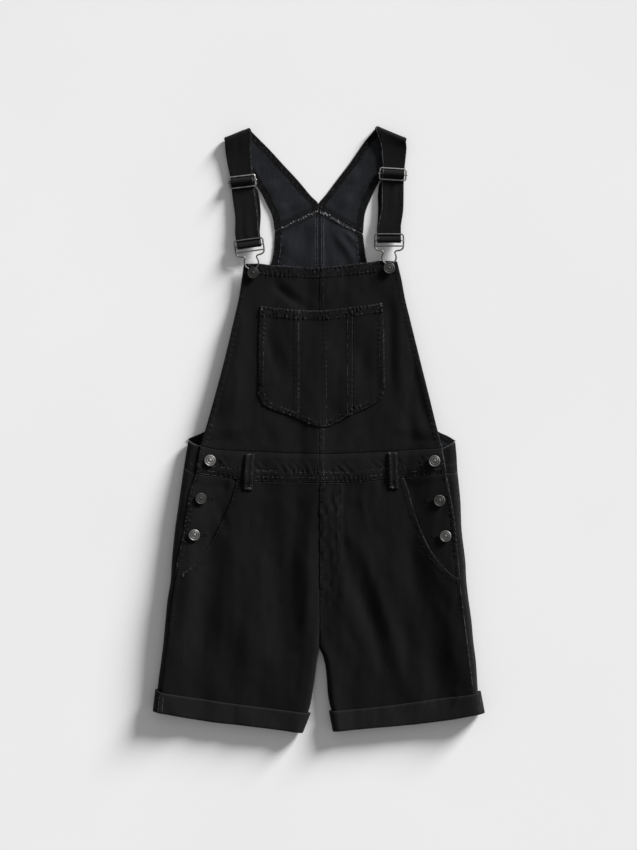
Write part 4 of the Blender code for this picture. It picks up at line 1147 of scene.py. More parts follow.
def back_grid(side, upper, lower, v, tucked):
    """Outer skin of the back, from its inner edge under the garment and round the side fold."""
    sign = SIGN[side]
    lap = shifted(SIDE_SEAM[side], -sign * PLACKET_LAP)
    inner_x, outer_x, lap_x = (row_end(edge, upper, lower, v)
                               for edge in (INSEAM[side], BODY[side], lap))

    def floor_height(x):
        return tuck(side, x, row_y(upper, lower, x, v)) if tucked else np.zeros(np.shape(x))

    turn_x = outer_x - sign * FOLD_WIDTH
    flat = [inner_x + sign * INSEAM_WIDTH * (1.0 - math.cos(math.pi / 2 * i / NEAR_STEPS))
            for i in range(NEAR_STEPS + 1)]
    flat += [lerp(inner_x + sign * INSEAM_WIDTH, turn_x, i / FLAT_STEPS)
             for i in range(1, FLAT_STEPS + 1)]
    columns = []
    for x in flat:
        depth = INSEAM_HEIGHT / 2 - INSEAM_SPLIT - floor_height(x)
        legs = leg_part(row_y(upper, lower, x, v))
        rise = legs * round_off(np.abs(x - inner_x), INSEAM_WIDTH, depth)
        columns.append((x, floor_height(x) + rise))
    low = floor_height(turn_x)
    turn_y = row_y(upper, lower, turn_x, v)
    high = front_height(turn_x, turn_y) - wrap_depth(turn_y)
    for i in range(1, FOLD_STEPS):
        angle = math.pi * (i / FOLD_STEPS - 0.5)
        columns.append((turn_x + sign * FOLD_WIDTH * math.cos(angle),
                        (low + high) / 2 + (high - low) / 2 * math.sin(angle)))
    for i in range(LAP_STEPS + 1):
        x = lerp(turn_x, lap_x, i / LAP_STEPS)
        y = row_y(upper, lower, x, v)
        columns.append((x, front_height(x, y) - wrap_depth(y)))
    return column_grid(columns, upper, lower, v)


def column_grid(columns, upper, lower, v):
    """A grid whose columns are given as x and height."""
    return np.stack([lifted(x, row_y(upper, lower, x, v), z) for x, z in columns], axis=1)


def back_panels():
    for side in SIDES:
        v = stations(PANEL_LENGTH, [], 3.0, 4.0)
        grid = back_grid(side, PANEL_TOP, PANEL_FOOT[side], v, True)
        x, y, z = grid[..., 0], grid[..., 1], grid[..., 2]
        side_fold = ease((z - 1.5) / 3.0)
        grid[..., 2] += side_fold * ease((-90.0 - y) / 40.0) * 0.25 * ripples(x, y, 34.0, 21)
        rubbed = 0.3 * side_fold * bell(z - z.max(axis=1)[:, None] * 0.75, 3.0)
        if side == "right":
            grid, rubbed = grid[:, ::-1], rubbed[:, ::-1]
        cloth("back_" + side, grid, PLY, np.clip(rubbed, 0, 1))


def waistbands():
    top = cross_line(WAIST_TOP, -192.0, 200.0)
    foot = cross_line(WAIST_LOW, -196.0, 201.0)
    for side in SIDES:
        x, y = side_patch(side, SIDE_SEAM[side], INSEAM[side], WAIST_TOP, WAIST_LOW, "waistband")
        down, run = nearest(foot, x, y)
        slant = np.sin(2 * math.pi * (run + 0.8 * down) / 12.5 + 1.9 * np.sin(run / 27.0))
        patchy = np.clip(ripples(x, y, 45.0, 51) + 0.4, 0.0, 1.0)
        lap = ease((np.abs(x) - 116.0) / 10.0)
        sunk = (BAND_STEP + 0.8 * lap) * bell(down, 6.0) + 0.95 * bell(nearest(top, x, y)[0], 4.5)
        parts = [sewn(down - row, run, 0.42, 6.1, row) for row in BAND_ROWS]
        parts += [(0.5 * slant * bell(down - 20.0, 8.0) * patchy - sunk, 0.0),
                  hem(x, y, edge_line(SIDE_SEAM[side], -66.0, -20.0), "band_end")]
        if side == "right":
            parts.append((-0.5 * bell(x - MIDDLE, 1.0), 0.4 * bell(x - MIDDLE, 1.2)))
        front_cloth("waistband_front_" + side, x, y, parts, BAND_RISE, BAND)


def back_band():
    v = stations(BAND_HEIGHT, [(0, BAND_HEIGHT)], 1.6)
    left, right = (back_grid(side, WAIST_TOP, WAIST_LOW, v, False) for side in SIDES)
    grid = np.concatenate([right[:, ::-1][:, :-NEAR_STEPS - 1], left[:, NEAR_STEPS + 1:]], axis=1)
    depth = np.broadcast_to(v[:, None] * BAND_HEIGHT, grid.shape[:2])
    wear_and_shading = sum(share * bell(depth - place, width) for share, place, width in WAIST_WEAR)
    cloth("waistband_back", grid, BAND, wear_and_shading)


def belt_loops():
    t = np.linspace(0.0, 1.0, 36)[:, None]
    across = np.linspace(-1.0, 1.0, 13)[None, :]
    edge = np.abs(across)
    band = BAND_RISE * (1.0 - ease((t - 0.76) / 0.1))
    arch = 0.8 * np.sin(math.pi * t) - 0.6 * (bell(t, 0.05) + bell(1.0 - t, 0.05))
    ridges = 0.3 * bell(edge - 0.55, 0.14) - 0.28 * bell(edge - 0.74, 0.07) - 0.3 * bell(edge, 0.3)
    height = band + arch + ridges - 0.35 * bell(1.0 - edge, 0.1)
    wear_and_shading = 0.22 * bell(edge - 0.95, 0.1) + 0.16 * bell(edge - 0.5, 0.15) + 0.0 * t
    for side in SIDES:
        (top_x, top_y), (foot_x, foot_y) = BELT_LOOP[side]
        x = lerp(top_x, foot_x, t) + across * LOOP_WIDTH / 2
        y = lerp(top_y, foot_y, t) + 0.0 * across
        front_cloth("belt_loop_" + side, x, y, [(height, wear_and_shading)],
                    SEAM_GAP + 0.3 + LOOP_THICK, LOOP_THICK)


def bibs():
    top = cross_line(BIB_TOP, -109.0, 114.0)
    waist = cross_line(WAIST_TOP, -172.0, 180.0)
    for side in SIDES:
        x, y = side_patch(side, BIB_EDGE[side], INSEAM[side], BIB_TOP, shifted(WAIST_TOP, SEAM_GAP),
                          "bib")
        middle = edge_line(INSEAM[side], -34.0, 232.0)
        parts = [hem(x, y, top, "bib_top"),
                 hem(x, y, edge_line(BIB_EDGE[side], -40.0, 243.0), "bib_side"),
                 hem(x, y, waist, "bib_foot")]
        if side == "right":
            under_pocket = ease((y - 5.0) / 6.0) * ease((168.0 - y) / 6.0)
            # rubbed holds the hem's wear with its painted highlights and shade
            raised, rubbed = hem(x, y, middle, "bib_middle")
            parts.append((raised * (1.0 - under_pocket), rubbed))
        else:
            parts.append((-0.35 * bell(nearest(middle, x, y)[0], 1.3), 0.0))
        front_cloth("bib_" + side, x, y, parts)


def chest_pocket():
    top = cross_line(POCKET_TOP, -85.0, 92.2)
    foot = cross_line(POCKET_FOOT, -88.5, 97.0, 2.0)
    left_seam, right_seam = POCKET_SEAMS
    seams = [[(0, x + shift), (200, x + shift)] for x in POCKET_SEAMS for shift in (-HALF_GAP, HALF_GAP)]
    walls = [POCKET_SIDE["left"], *seams, POCKET_SIDE["right"]]
    for number, part in enumerate(("left", "middle", "right")):
        name = "chest_pocket_" + part
        x, y = patch(*walls[2 * number:2 * number + 2], POCKET_TOP, POCKET_FOOT, name)
        parts = [hem(x, y, top, "pocket_top"), hem(x, y, foot, "pocket_foot")]
        if part in SIDES:
            parts.append(hem(x, y, edge_line(POCKET_SIDE[part], 42.0, 179.0), "pocket_side"))
        parts += [sewn(x - row, y, 0.22, 7.6, row) for rows in POCKET_ROW_THREADS.values()
                  for row in rows]
        folds = (ease((left_seam + 9.4 - x) / 1.2) * ease((x - left_seam + 0.6) / 1.2)
                 + ease((right_seam + 0.6 - x) / 1.2) * ease((x - right_seam + 9.0) / 1.2))
        rubbed = sum(0.3 * bell(x - edge, 1.1) for edge in (left_seam + 9.0, right_seam - 0.4))
        parts.append((0.4 * folds, rubbed))
        front_cloth(name, x, y, parts, POCKET_RISE, POCKET_PLY)


def yoke_line(side):
    """The pointed yoke seam of one side."""
    return cross_line(YOKE_SEAM[side], YOKE_SEAM[side][0][0], YOKE_SEAM[side][1][0])


def back_bibs():
    for side in SIDES:
        x, y = side_patch(side, ARMHOLE[side], INSEAM[side], shifted(YOKE_SEAM[side], -SEAM_GAP),
                          shifted(WAIST_TOP, 1.2), "back_bib")
        edge = edge_line(ARMHOLE[side], -10.0, 286.0)
        # rubbed holds the hem's wear with its painted highlights and shade
        raised, rubbed = hem(x, y, edge, "armhole")
        away = nearest(edge, x, y)[0]
        from_middle = np.abs(x - MIDDLE)
        below_yoke = nearest(yoke_line(side), x, y)[0]
        banded = ease((BACK_BAND + 0.4 - from_middle) / 1.2)
        yoked = ease((YOKE_BAND + 0.6 - below_yoke) / 1.2)
        swell = 0.7 + 0.7 * ripples(x, y, 46.0, 31) + crease_height(INSIDE_CREASES, x, y)
        free = ease(away / 20.0) * ease(below_yoke / 14.0)
        height = PLY + raised + 0.5 * np.maximum(banded, yoked) + np.maximum(swell, 0.0) * free
        height -= 0.3 * bell(below_yoke, 1.6) + 0.2 * bell(from_middle - BACK_BAND + 1.4, 0.9)
        turned = ease((BACK_HEM + 0.5 - away) / 1.2) + 0.6 * banded + 0.5 * yoked
        wear_and_shading = np.clip(rubbed + 0.3 * bell(from_middle - BACK_BAND, 1.0), 0, 1)
        cloth("back_bib_" + side, lifted(x, y, height), PLY, wear_and_shading,
              ("denim_wrong_side", "denim"), np.clip(turned, 0.0, 1.0))


def cuffs():
    v = stations(CUFF_HEIGHT, [(0, CUFF_HEIGHT)], 1.25)
    depth = v[:, None] * CUFF_HEIGHT
    under, face, fold = CUFF_STEPS["under"], CUFF_STEPS["face"], CUFF_STEPS["fold"]
    for side in SIDES:
        sign = SIGN[side]
        upper, lower = CUFF_TOP[side], CUFF_FOOT[side]
        turn_out = row_end(CUFF_OUTER[side], upper, lower, v) - sign * FOLD_WIDTH
        turn_in = row_end(CUFF_INNER[side], upper, lower, v) + sign * INSEAM_WIDTH

        def top(x):
            return front_height(x, row_y(upper, lower, x, v)) + CUFF_RISE

        def round_end(turn, width, angles):
            return [(turn + width * math.cos(a), top(turn) / 2 * (1 + math.sin(a))) for a in angles]

        angles = [math.pi * (i / fold - 0.5) for i in range(1, fold)]
        columns = [(lerp(turn_in, turn_out, i / under), 0.0 * v) for i in range(under + 1)]
        columns += round_end(turn_out, sign * FOLD_WIDTH, angles)
        columns += [(x, top(x)) for x in (lerp(turn_out, turn_in, i / face) for i in range(face + 1))]
        columns += round_end(turn_in, -sign * INSEAM_WIDTH, [-a for a in angles])
        grid = column_grid(columns, upper, lower, v)
        x, y, z = grid[..., 0], grid[..., 1], grid[..., 2]
        upper_face = ease((z - 7.0) / 5.0)
        roll = bell(depth, 1.3) + bell(CUFF_HEIGHT - depth, 1.6)
        wave = 0.35 * np.sin(2 * math.pi * (x + 0.6 * depth) / 13.0 + 2 * np.sin(x / 37.0))
        from_seam = x - CUFF_SEAM[side] + (y + 400.0) * CUFF_SEAM_LEAN * sign
        ridge = 0.5 * ease((3.6 - np.abs(from_seam)) / 1.2)
        grid[..., 2] += upper_face * (wave * (0.25 + 0.5 * bell(depth, 6.0)) - 0.7 * roll + ridge)
        # rows: the seam's wear, with painted highlights and shade on the puckers beside its rows
        rows = sewn(np.abs(from_seam) - CUFF_SEAM_ROW, y, 0.3, 6.0, 3.0)[1] + 0.3 * bell(from_seam, 1.2)
        edges = 0.12 * bell(depth, 1.2) + 0.2 * bell(CUFF_HEIGHT - depth, 1.4)
        wear_and_shading = upper_face * (edges + rows)
        if side == "right":
            grid, wear_and_shading = grid[:, ::-1], wear_and_shading[:, ::-1]
        cloth("cuff_" + side, grid, CUFF, wear_and_shading, ("cuff_cloth", "denim"),
              ring=True)


# Straps

def hook_height(side):
    """Height of a hook's wire, just clear of the bib."""
    x, y = BIB_BUTTON[side]
    spots = [(dx, dy) for dx in (-11, 0, 11) for dy in (-5, 4, 12)]
    return max(float(solid_height(x + dx, y + dy)) for dx, dy in spots) + WIRE + SEAM_GAP


def placed(point, place, height):
    """A point of a piece of hardware, at the piece's place and tilt."""
    x, y, tilt = place
    angle = math.radians(tilt)
    return np.array((x + point[0] * math.cos(angle) - point[1] * math.sin(angle),
                     y + point[0] * math.sin(angle) + point[1] * math.cos(angle), height))


def strap_sections(side):
    """Edge points of a strap, from the yoke seam over the shoulder, round the hook and back."""
    sign = SIGN[side]
    half = STRAP_HALF[side]
    wide = half + STRAP_WIDER
    slider, hook = SLIDER[side], HOOK_BAR[side]
    wire_z = hook_height(side)
    sections = []

    def add_across(place, distance, half_width, height, shift=0.0):
        sections.append([placed((shift + way * half_width, distance), place, height)
                         for way in (-1, 1)])

    def add_edges(outer_x, outer_y, neck_x, neck_y, z):
        pair = [np.array((outer_x, outer_y, z)), np.array((neck_x, neck_y, z))]
        sections.append(pair if sign < 0 else pair[::-1])

    for row in BACK_STRAP[side]:
        add_edges(*row, STRAP / 2)
    outer_x, outer_y, neck_x, neck_y = SHOULDER[side]
    fold = np.array((neck_x - outer_x, neck_y - outer_y))
    fold /= np.linalg.norm(fold)
    out = np.array((-fold[1], fold[0])) * -sign
    for i in range(7):
        ahead, up = polar(ROLL, math.pi * (i / 6 - 0.5))
        dx, dy = out * (ahead - ROLL - STRAP / 2)
        add_edges(outer_x + dx, outer_y + dy, neck_x + dx, neck_y + dy, STRAP / 2 + ROLL + up)
    shoulder_at = len(sections) - 4
    for row in FRONT_STRAP[side]:
        add_edges(*row)
    for distance, height in OVER_SLIDER:
        add_across(slider, distance, half, SLIDER_Z + height)
    run = math.hypot(slider[0] - hook[0], slider[1] - hook[1])
    between = (slider[0], slider[1], lerp(slider[2], hook[2], 0.5))
    low, high = SLIDER_Z - 2.35, wire_z - 2.6
    for t in (0.35, 0.6):
        add_across(between, -run * t, half, lerp(low, high, (t - 0.15) / 0.7))
    for distance, height in OVER_HOOK:
        add_across(hook, distance, wide, wire_z + height)
    turn = WIRE + SHIN + 0.1
    for degrees in (85, 115, 145, 180, 215, 245, 270):
        ahead, up = polar(turn, math.radians(degrees))
        add_across(hook, ahead - HOOK_STEP, wide, wire_z + up)
    under = wire_z - 2.45 - STRAP - 0.35
    for distance, height in ((-4.0, under + 0.5), (0.0, under), (8.0, under - 0.2)):
        add_across(hook, distance, wide, height)
    for t in (0.6, 0.35, 0.18):
        height = lerp(low, high, (t - 0.15) / 0.7) - STRAP - SEAM_GAP
        add_across(between, -run * t, half, height, RETURN_SHIFT[side] * (1.35 - t) * min(1.0, t / 0.3))
    floor = STRAP * 1.5 + SEAM_GAP
    wrap = BAR + SHIN + 0.1
    for distance, height in ((-9.0, floor), (-6.0, floor + 0.2), (-2.6, SLIDER_Z - wrap - 0.3)):
        add_across(slider, distance, half, height)
    for degrees in (-90, -50, -10, 30, 65, 100):
        ahead, up = polar(wrap, math.radians(degrees))
        add_across(slider, ahead, half, SLIDER_Z + up)
    return np.array(sections), shoulder_at


def smooth_path(points, step):
    """Evenly spaced points on a smooth curve through the given ones, and their places in the list."""
    points = np.asarray(points, float)
    flat = points.reshape(len(points), -1)
    steps = np.linalg.norm(np.diff(flat, axis=0), axis=1)
    keys = np.concatenate([[0.0], np.cumsum(np.sqrt(np.maximum(steps, 1e-6)))])
    dense = np.linspace(0, keys[-1], 60 * len(points))
    table = np.column_stack([keys, flat])
    curve = np.column_stack([along(table, dense, c + 1) for c in range(flat.shape[1])])
    run = run_along(curve)
    places = np.linspace(0.0, run[-1], max(2, int(run[-1] / step)))
    out = points_at(curve, run, places)
    order = np.interp(np.interp(places, run, dense), keys, np.arange(len(points)))
    return out.reshape(len(places), *points.shape[1:]), order


def grid_normals(grid):
    return unit(np.cross(np.gradient(grid, axis=0), np.gradient(grid, axis=1)))


def strap_surface(side, grid, across, width, run, since_shoulder, since_yoke):
    """Height, wear and turned cloth of a strap's surface."""
    x, y = grid[..., 0], grid[..., 1]
    from_left = across * width
    away = np.minimum(from_left, width - from_left)
    on_back = 1.0 - ease(since_shoulder + 0.5)
    sway = np.sin(run / 17.0 + (2.0 if side == "left" else 0.4))
    folds = np.sin(across * 13.0 + 1.3 * np.sin(run / 38.0)) * (0.55 + 0.45 * sway)
    folds = folds * bell(from_left - width / 2, 12.0)
    free = np.clip(np.abs(since_shoulder - 9.0) - 4.5, 0.0, 1.0)
    free = free * (1.0 - bell(since_shoulder, 2.2)) * (since_shoulder < 20)
    band = lerp(STRAP_HEM, BACK_HEM, on_back)
    hemmed = ease((band - away) / 1.2)
    soft = ripples(x, y, 34.0, 41) * ease(away / 14.0)
    height = 0.42 * folds * free + 0.14 * ease((band - away) / 1.4)
    height = height - 0.9 * on_back * ease(since_yoke / 1.5) * soft
    height = height + 0.1 * np.sin(2 * math.pi * run / 8.5) * bell(away - 3, 3)
    height = height - 0.2 * bell(away - band + 1.3, 0.8) - 0.2 * bell(away - 1.6, 0.7)
    above_yoke = nearest(yoke_line(side), x, y)[0] + 90.0 * (since_yoke > 4.0)
    turned = np.maximum(hemmed, 0.6 * ease((YOKE_BAND + 3.0 - above_yoke) / 1.2))
    wear_and_shading = 0.5 * bell(away, 0.8) + 0.12 * bell(away - band, 1.0)
    wear_and_shading = wear_and_shading * (0.6 + 0.4 * np.sin(2 * math.pi * run / 8.5))
    specks = np.clip(ripples(x, y, 5.0, 43) - 0.4, 0.0, 1.0)
    return height * lerp(1.0, -1.0, on_back), wear_and_shading + 0.4 * on_back * specks * hemmed, turned


def straps():
    across = stations(34.0, [(0, 14), (20, 34)], 0.95, 1.5)[None, :]
    for side in SIDES:
        sections, shoulder = strap_sections(side)
        edges, order = smooth_path(sections, 2.4)
        inwards = edges[:, 1] - edges[:, 0]
        width = np.linalg.norm(inwards, axis=1)[:, None]
        inwards = inwards / width * ROLL_PULL * bell(order - shoulder, 1.3)[:, None]
        edges = np.stack([edges[:, 0] + inwards, edges[:, 1] - inwards], axis=1)
        grid = lerp(edges[:, :1], edges[:, 1:], across[..., None])
        normals = grid_normals(grid)
        run = np.cumsum(np.linalg.norm(np.gradient(edges.mean(axis=1), axis=0), axis=1))[:, None]
        height, wear_and_shading, turned = strap_surface(side, grid, across, width, run,
                                             (order - shoulder)[:, None], order[:, None])
        grid = grid + normals * height[..., None]
        grid[..., 2] = np.maximum(grid[..., 2], STRAP / 2)
        piece = cloth("strap_" + side, grid, STRAP, wear_and_shading, turned=turned,
                      offset=0.0)
        piece.modifiers["Wall"].material_offset_rim = 0
        STRAP_GRIDS[side] = (grid, normals, across * width, order > shoulder - 2.0)


# Hardware

def tube(path, radius, sides, closed):
    """Points and faces of a round tube along a flat path."""
    path = np.asarray(path, float)
    count = len(path)
    if closed:
        run = unit(np.roll(path, -1, axis=0) - np.roll(path, 1, axis=0))
    else:
        run = directions(path)
    up = np.array([0.0, 0.0, 1.0])
    side = unit(np.cross(run, up))
    angles = np.linspace(0, 2 * math.pi, sides, endpoint=False)[None, :, None]
    rings = path[:, None] + radius * (side[:, None] * np.cos(angles) + up * np.sin(angles))
    points, faces = rings.reshape(-1, 3), grid_faces(count, sides, True, closed)
    if not closed:
        tip = radius * 0.6
        base, last = len(points), (count - 1) * sides
        points = np.vstack([points, path[0] - run[0] * tip, path[-1] + run[-1] * tip])
        for k in range(sides):
            m = (k + 1) % sides
            faces += [(base, k, m), (base + 1, last + m, last + k)]
    return points, faces


def wire_piece(name, tubes, tarnish):
    """Wires joined into one piece, each with its own share of tarnish."""
    faces, base = [], 0
    for points, own_faces in tubes:
        faces += [tuple(base + i for i in face) for face in own_faces]
        base += len(points)
    dull = np.concatenate([np.full(len(points), share) for (points, _), share in zip(tubes, tarnish)])
    make_piece(name + "_wire", np.concatenate([points for points, _ in tubes]), faces, ["nickel"],
               {"recess_shade": 0.0 * dull, "dull": dull}, name)


def rounded_frame(half_x, half_y, corner):
    points = []
    for turn, (sx, sy) in enumerate(((1, 1), (-1, 1), (-1, -1), (1, -1))):
        for i in range(9):
            angle = math.pi / 2 * (turn + i / 8)
            dx, dy = polar(corner, angle)
            points.append((sx * (half_x - corner) + dx, sy * (half_y - corner) + dy))
    return points


def sliders():
    """A rounded frame of wire, a bar across it, and a knob on each end of the bar."""
    half_x, half_y = SLIDER_HALF
    ring = rounded_frame(half_x - WIRE, half_y - WIRE, 2.2)
    bar = [(x, 0.0) for x in np.linspace(-half_x - PIN_END, half_x + PIN_END, 12)]
    knobs = [[(way * (half_x - 0.6 + d), 0.0) for d in (0.0, 0.7, 1.4)] for way in (-1, 1)]
    wires = [(ring, WIRE, ROUND_SIDES, True), (bar, BAR, BAR_SIDES, False)]
    wires += [(knob, KNOB, ROUND_SIDES, False) for knob in knobs]
    for side in SIDES:
        tubes = [tube([placed(point, SLIDER[side], SLIDER_Z) for point in points], *shape)
                 for points, *shape in wires]
        wire_piece("slider_" + side, tubes, SLIDER_TARNISH)


def hooks():
    """A wire bent to a keyhole loop, with two bars across it that carry the strap."""
    radius, centre_y = KEYHOLE
    foot = [(x, centre_y + y) for x, y in (polar(radius, math.radians(degrees))
                                           for degrees in range(0, -91, -15))]
    half = HOOK_OUTLINE[1:] + foot
    outline = half + [(-x, y) for x, y in reversed(half[:-1])]
    for side in SIDES:
        place, height = HOOK_BAR[side], hook_height(side)
        closed = [placed(p, place, height) for p in outline]
        curve, order = smooth_path(closed[-3:] + closed + closed[:3], 0.8)
        keep = (order >= 3.0) & (order < 3.0 + len(closed) - 1e-6)
        tubes = [tube(curve[keep], WIRE, ROUND_SIDES, True)]
        for y, half_x in ((-HOOK_STEP, HOOK_HALF), (-HOOK_PITCH, HOOK_HALF - 0.1)):
            bar = [placed((x, y), place, height) for x in np.linspace(-half_x, half_x, 20)]
            tubes.append(tube(bar, WIRE * 0.9, BAR_SIDES, False))
        wire_piece("hook_" + side, tubes, HOOK_TARNISH)


def turned_button(node, shank, base, normal, dull):
    """A turned button with plain rings and a milled ring of small beads."""
    rows = [(r, h + shank, s) for r, h, s in BUTTON_HEAD] + [(SHANK_RADIUS, 0.0, 1.0), (0.0, 0.0, 1.0)]
    segments = 3 * BEADS
    angles = np.linspace(0, 2 * math.pi, segments, endpoint=False)
    points, recess_shade, starts = [], [], []
    for radius, height, sunk in rows:
        starts.append(len(points))
        if radius == 0.0:
            points.append((0.0, 0.0, height))
            recess_shade.append(sunk)
            continue
        # Painted shade between the beads of the milled ring
        bead = 0.1 * math.exp(-((radius - BEAD_RING) / 0.75) ** 2) if height > shank + 1.0 else 0.0
        for angle in angles:
            points.append((*polar(radius, angle), height + bead * math.cos(BEADS * angle)))
            recess_shade.append(min(1.0, sunk + 4.0 * bead * (0.5 - 0.5 * math.cos(BEADS * angle))))
    faces = []
    for a, b, row_a, row_b in zip(starts[:-1], starts[1:], rows[:-1], rows[1:]):
        for k in range(segments):
            m = (k + 1) % segments
            if row_a[0] == 0.0:
                faces.append((a, b + k, b + m))
            elif row_b[0] == 0.0:
                faces.append((a + k, b, a + m))
            else:
                faces.append((a + k, b + k, b + m, a + m))
    turn = np.array(Vector(normal).to_track_quat("Z", "Y").to_matrix())
    fields = {"recess_shade": recess_shade, "dull": np.full(len(recess_shade), dull)}
    make_piece(node + "_turned", np.array(points) @ turn.T + np.array(base), faces, ["pewter"],
               fields, node)


def buttons():
    reach = HEAD_RADIUS - 0.5
    for side in SIDES:
        for number, (x, y) in enumerate(SIDE_BUTTONS[side], 1):
            rise = BAND_RISE if number == 1 else -LAYER

            def ground(dx, dy):
                return float(front_height(x + dx, y + dy)) + rise

            ahead = ground(reach, 0.0) - ground(-reach, 0.0)
            above = ground(0.0, reach) - ground(0.0, -reach)
            normal = Vector((-ahead, -above, 2 * reach)).normalized()
            base = Vector((x, y, ground(0.0, 0.0))) + normal * (SEAM_GAP + 0.05)
            turned_button("side_button_%s_%d" % (side, number), SIDE_SHANK, base, normal,
                          BUTTON_DULL[side][number])
        x, y = BIB_BUTTON[side]
        base = max(float(solid_height(x + dx, y + dy)) for dx in (-3, 3) for dy in (-3, 3)) + SEAM_GAP
        shank = hook_height(side) + WIRE + SEAM_GAP - base
        turned_button("bib_button_" + side, shank, (x, y, base), (0, 0, 1), BUTTON_DULL[side][0])


# Rows of sewing

def hem_rows(name):
    return HEMS[name][2]


def sew_edge(side, table, low, high, insets, under, kind="thread", step=3.0):
    """Rows beside a side edge, each set in towards the middle."""
    for inset in insets:
        sew(inward(side, edge_line(table, low, high, step), inset), under, kind)


def sew_cross(table, low, high, drops, under, kind="thread", step=3.0):
    """Rows below a cross line, or above it where their distance is less than 0."""
    for distance in drops:
        sew(beside(cross_line(table, low, high, step), distance), under, kind)


def sew_sides():
    for side in SIDES:
        sign = SIGN[side]
        mouth_y, mouth_x = MOUTH[side][0]
        seam_thread = "black_thread" if side == "left" else "tack_thread"
        bib, pants, band, yoke, loop = ([start + side] for start in (
            "bib_", "front_", "waistband_front_", "hip_yoke_", "belt_loop_"))
        sew_edge(side, BIB_EDGE[side], -20.0, 239.0, (6.4,), bib, "black_thread")
        sew_edge(side, MOUTH[side], mouth_y + 2.0, -78.0, (2.0, 7.2), pants, "black_thread")
        sew_edge(side, SIDE_SEAM[side], -372.0, mouth_y - 8.0, (2.4,), pants, seam_thread)
        sew_edge(side, SIDE_SEAM[side], MOUTH_FOOT[side] + 14.0, -70.0, (1.8,), yoke)
        sew_edge(side, SIDE_SEAM[side], -62.0, -28.0, (1.8,), band)
        waist, foot, top = SEWN_SPANS[side]
        sew_cross(WAIST_TOP, *waist, (-2.3,), bib, "black_thread")
        sew_cross(WAIST_LOW, *foot, [-rise for rise in BAND_ROWS], band)
        sew_cross(BIB_TOP, *top, hem_rows("bib_top"), bib)
        for number, (x, y) in enumerate(SIDE_BUTTONS[side], 1):
            buttonhole(side, x, y, band if number == 1 else yoke)
        (top_x, top_y), (foot_x, foot_y) = BELT_LOOP[side]
        for d in (-3.9, 3.9):
            sew(np.array([(top_x + d, top_y - 4.0), (foot_x + d, foot_y + 4.0)]), loop)
        loose_tack(top_x, top_y - 1.4, 11.0, 0.7, 9, loop)
        loose_tack(foot_x, foot_y + 1.8, 11.0, 1.5, 22, loop)
        bar_tack(mouth_x + sign * 1.0, mouth_y - 3.0, 80, 8.0, pants + yoke)


def buttonhole(side, x, y, under):
    """Satin stitches round a slit that runs inwards from a side button."""
    sign = SIGN[side]
    start, tail, half = 7.5, 17.5, 1.25
    for offset in np.arange(start, tail, 0.72):
        for across in (-half, half):
            middle = np.array([x - sign * offset, y + across])
            stitch("black_thread", under, middle, np.array([0.0, 1.05]), 0.33, -0.05)
    bar_tack(x - sign * (tail + 0.8), y, 90, 4.4, under, "black_thread", 0.7, 2.0)


def sew_middle():
    pants, bib, band = ["front_right"], ["bib_right"], ["waistband_front_right"]
    for low, inset in ((-232.0, -1.6), (-206.0, -7.4)):
        sew_edge("left", FLY, low, -80.0, (inset,), pants, "black_thread", 2.0)
    for low, high, insets, under, kind in (
            (-318.0, -80.0, (2.6,), pants, "black_thread"),
            (-318.0, -238.0, (7.6,), pants, "black_thread"),
            (-32.0, 3.0, (5.3, 1.7), bib, "thread"),
            (174.0, 218.0, (5.3, 1.6), bib, "thread"),
            (-74.0, -38.0, (5.3,), band, "thread")):
        sew_edge("left", INSEAM["right"], low, high, insets, under, kind)
    bar_tack(12.0, -213.0, 40, 7.0, pants, "black_thread")
    bar_tack(6.0, FLY_FOOT, 70, 7.0, pants, "black_thread")


def sew_pocket():
    under = ["chest_pocket_left", "chest_pocket_middle", "chest_pocket_right"]
    sew_cross(POCKET_TOP, -82.0, 90.0, hem_rows("pocket_top")[::-1], under)
    for side in SIDES:
        sew_edge(side, POCKET_SIDE[side], 52.0, 178.0, hem_rows("pocket_side"), under)
    sew_cross(POCKET_FOOT, -87.0, 95.0, [-row for row in hem_rows("pocket_foot")], under, step=2.0)
    for kind, rows in POCKET_ROW_THREADS.items():
        for x in rows:
            top, low = float(along(POCKET_TOP, x)) - 3.0, float(along(POCKET_FOOT, x)) + 4.0
            sew(np.array([(x, top), (x, low)]), under, kind)
    for x in (-82.5, 89.5):
        bar_tack(x, float(along(POCKET_TOP, x)) - 2.4, 90, 5.0, under, "pale_thread", width=1.7)


def sew_cuffs_and_back():
    for side in SIDES:
        for d in (-CUFF_SEAM_ROW, CUFF_SEAM_ROW):
            line = [(CUFF_SEAM[side] + d + CUFF_SEAM_LEAN * SIGN[side] * t, -400.0 - t)
                    for t in (8.0, -16.0)]
            sew(np.array(line), ["cuff_" + side], "blue_thread")
        bib = ["back_bib_" + side]
        for inset, kind in zip(hem_rows("armhole"), ("thread", "blue_thread")):
            sew_edge(side, ARMHOLE[side], 200.0, 282.0, (inset,), bib, kind)
        for inset in (1.0, 3.6):
            x = MIDDLE + SIGN[side] * (BACK_BAND - inset)
            sew(np.array([(x, 236.0), (x, 306.0)]), bib, "blue_thread")
    draw = np.random.default_rng(5)
    for side in SIDES:
        under = ["back_bib_" + side, "strap_" + side]
        armhole = edge_line(ARMHOLE[side], 200.0, 286.0)
        for rise, pitch, scatter, reach in YOKE_ROWS[side]:
            for x, y in resample(np.array(YOKE_SEAM[side], float), pitch):
                half = loose_stitch(draw, 0.9, 0.6, 1.2) * reach / 2
                middle = np.array([x + draw.uniform(-0.6, 0.6),
                                   y + rise + draw.uniform(-scatter, scatter)])
                ends = stitch_ends(under, middle, half)
                if ends and nearest(armhole, *middle)[0] > BACK_HEM:
                    STITCHES["pale_thread"].append((*ends, draw.uniform(0.34, 0.60), -0.2))


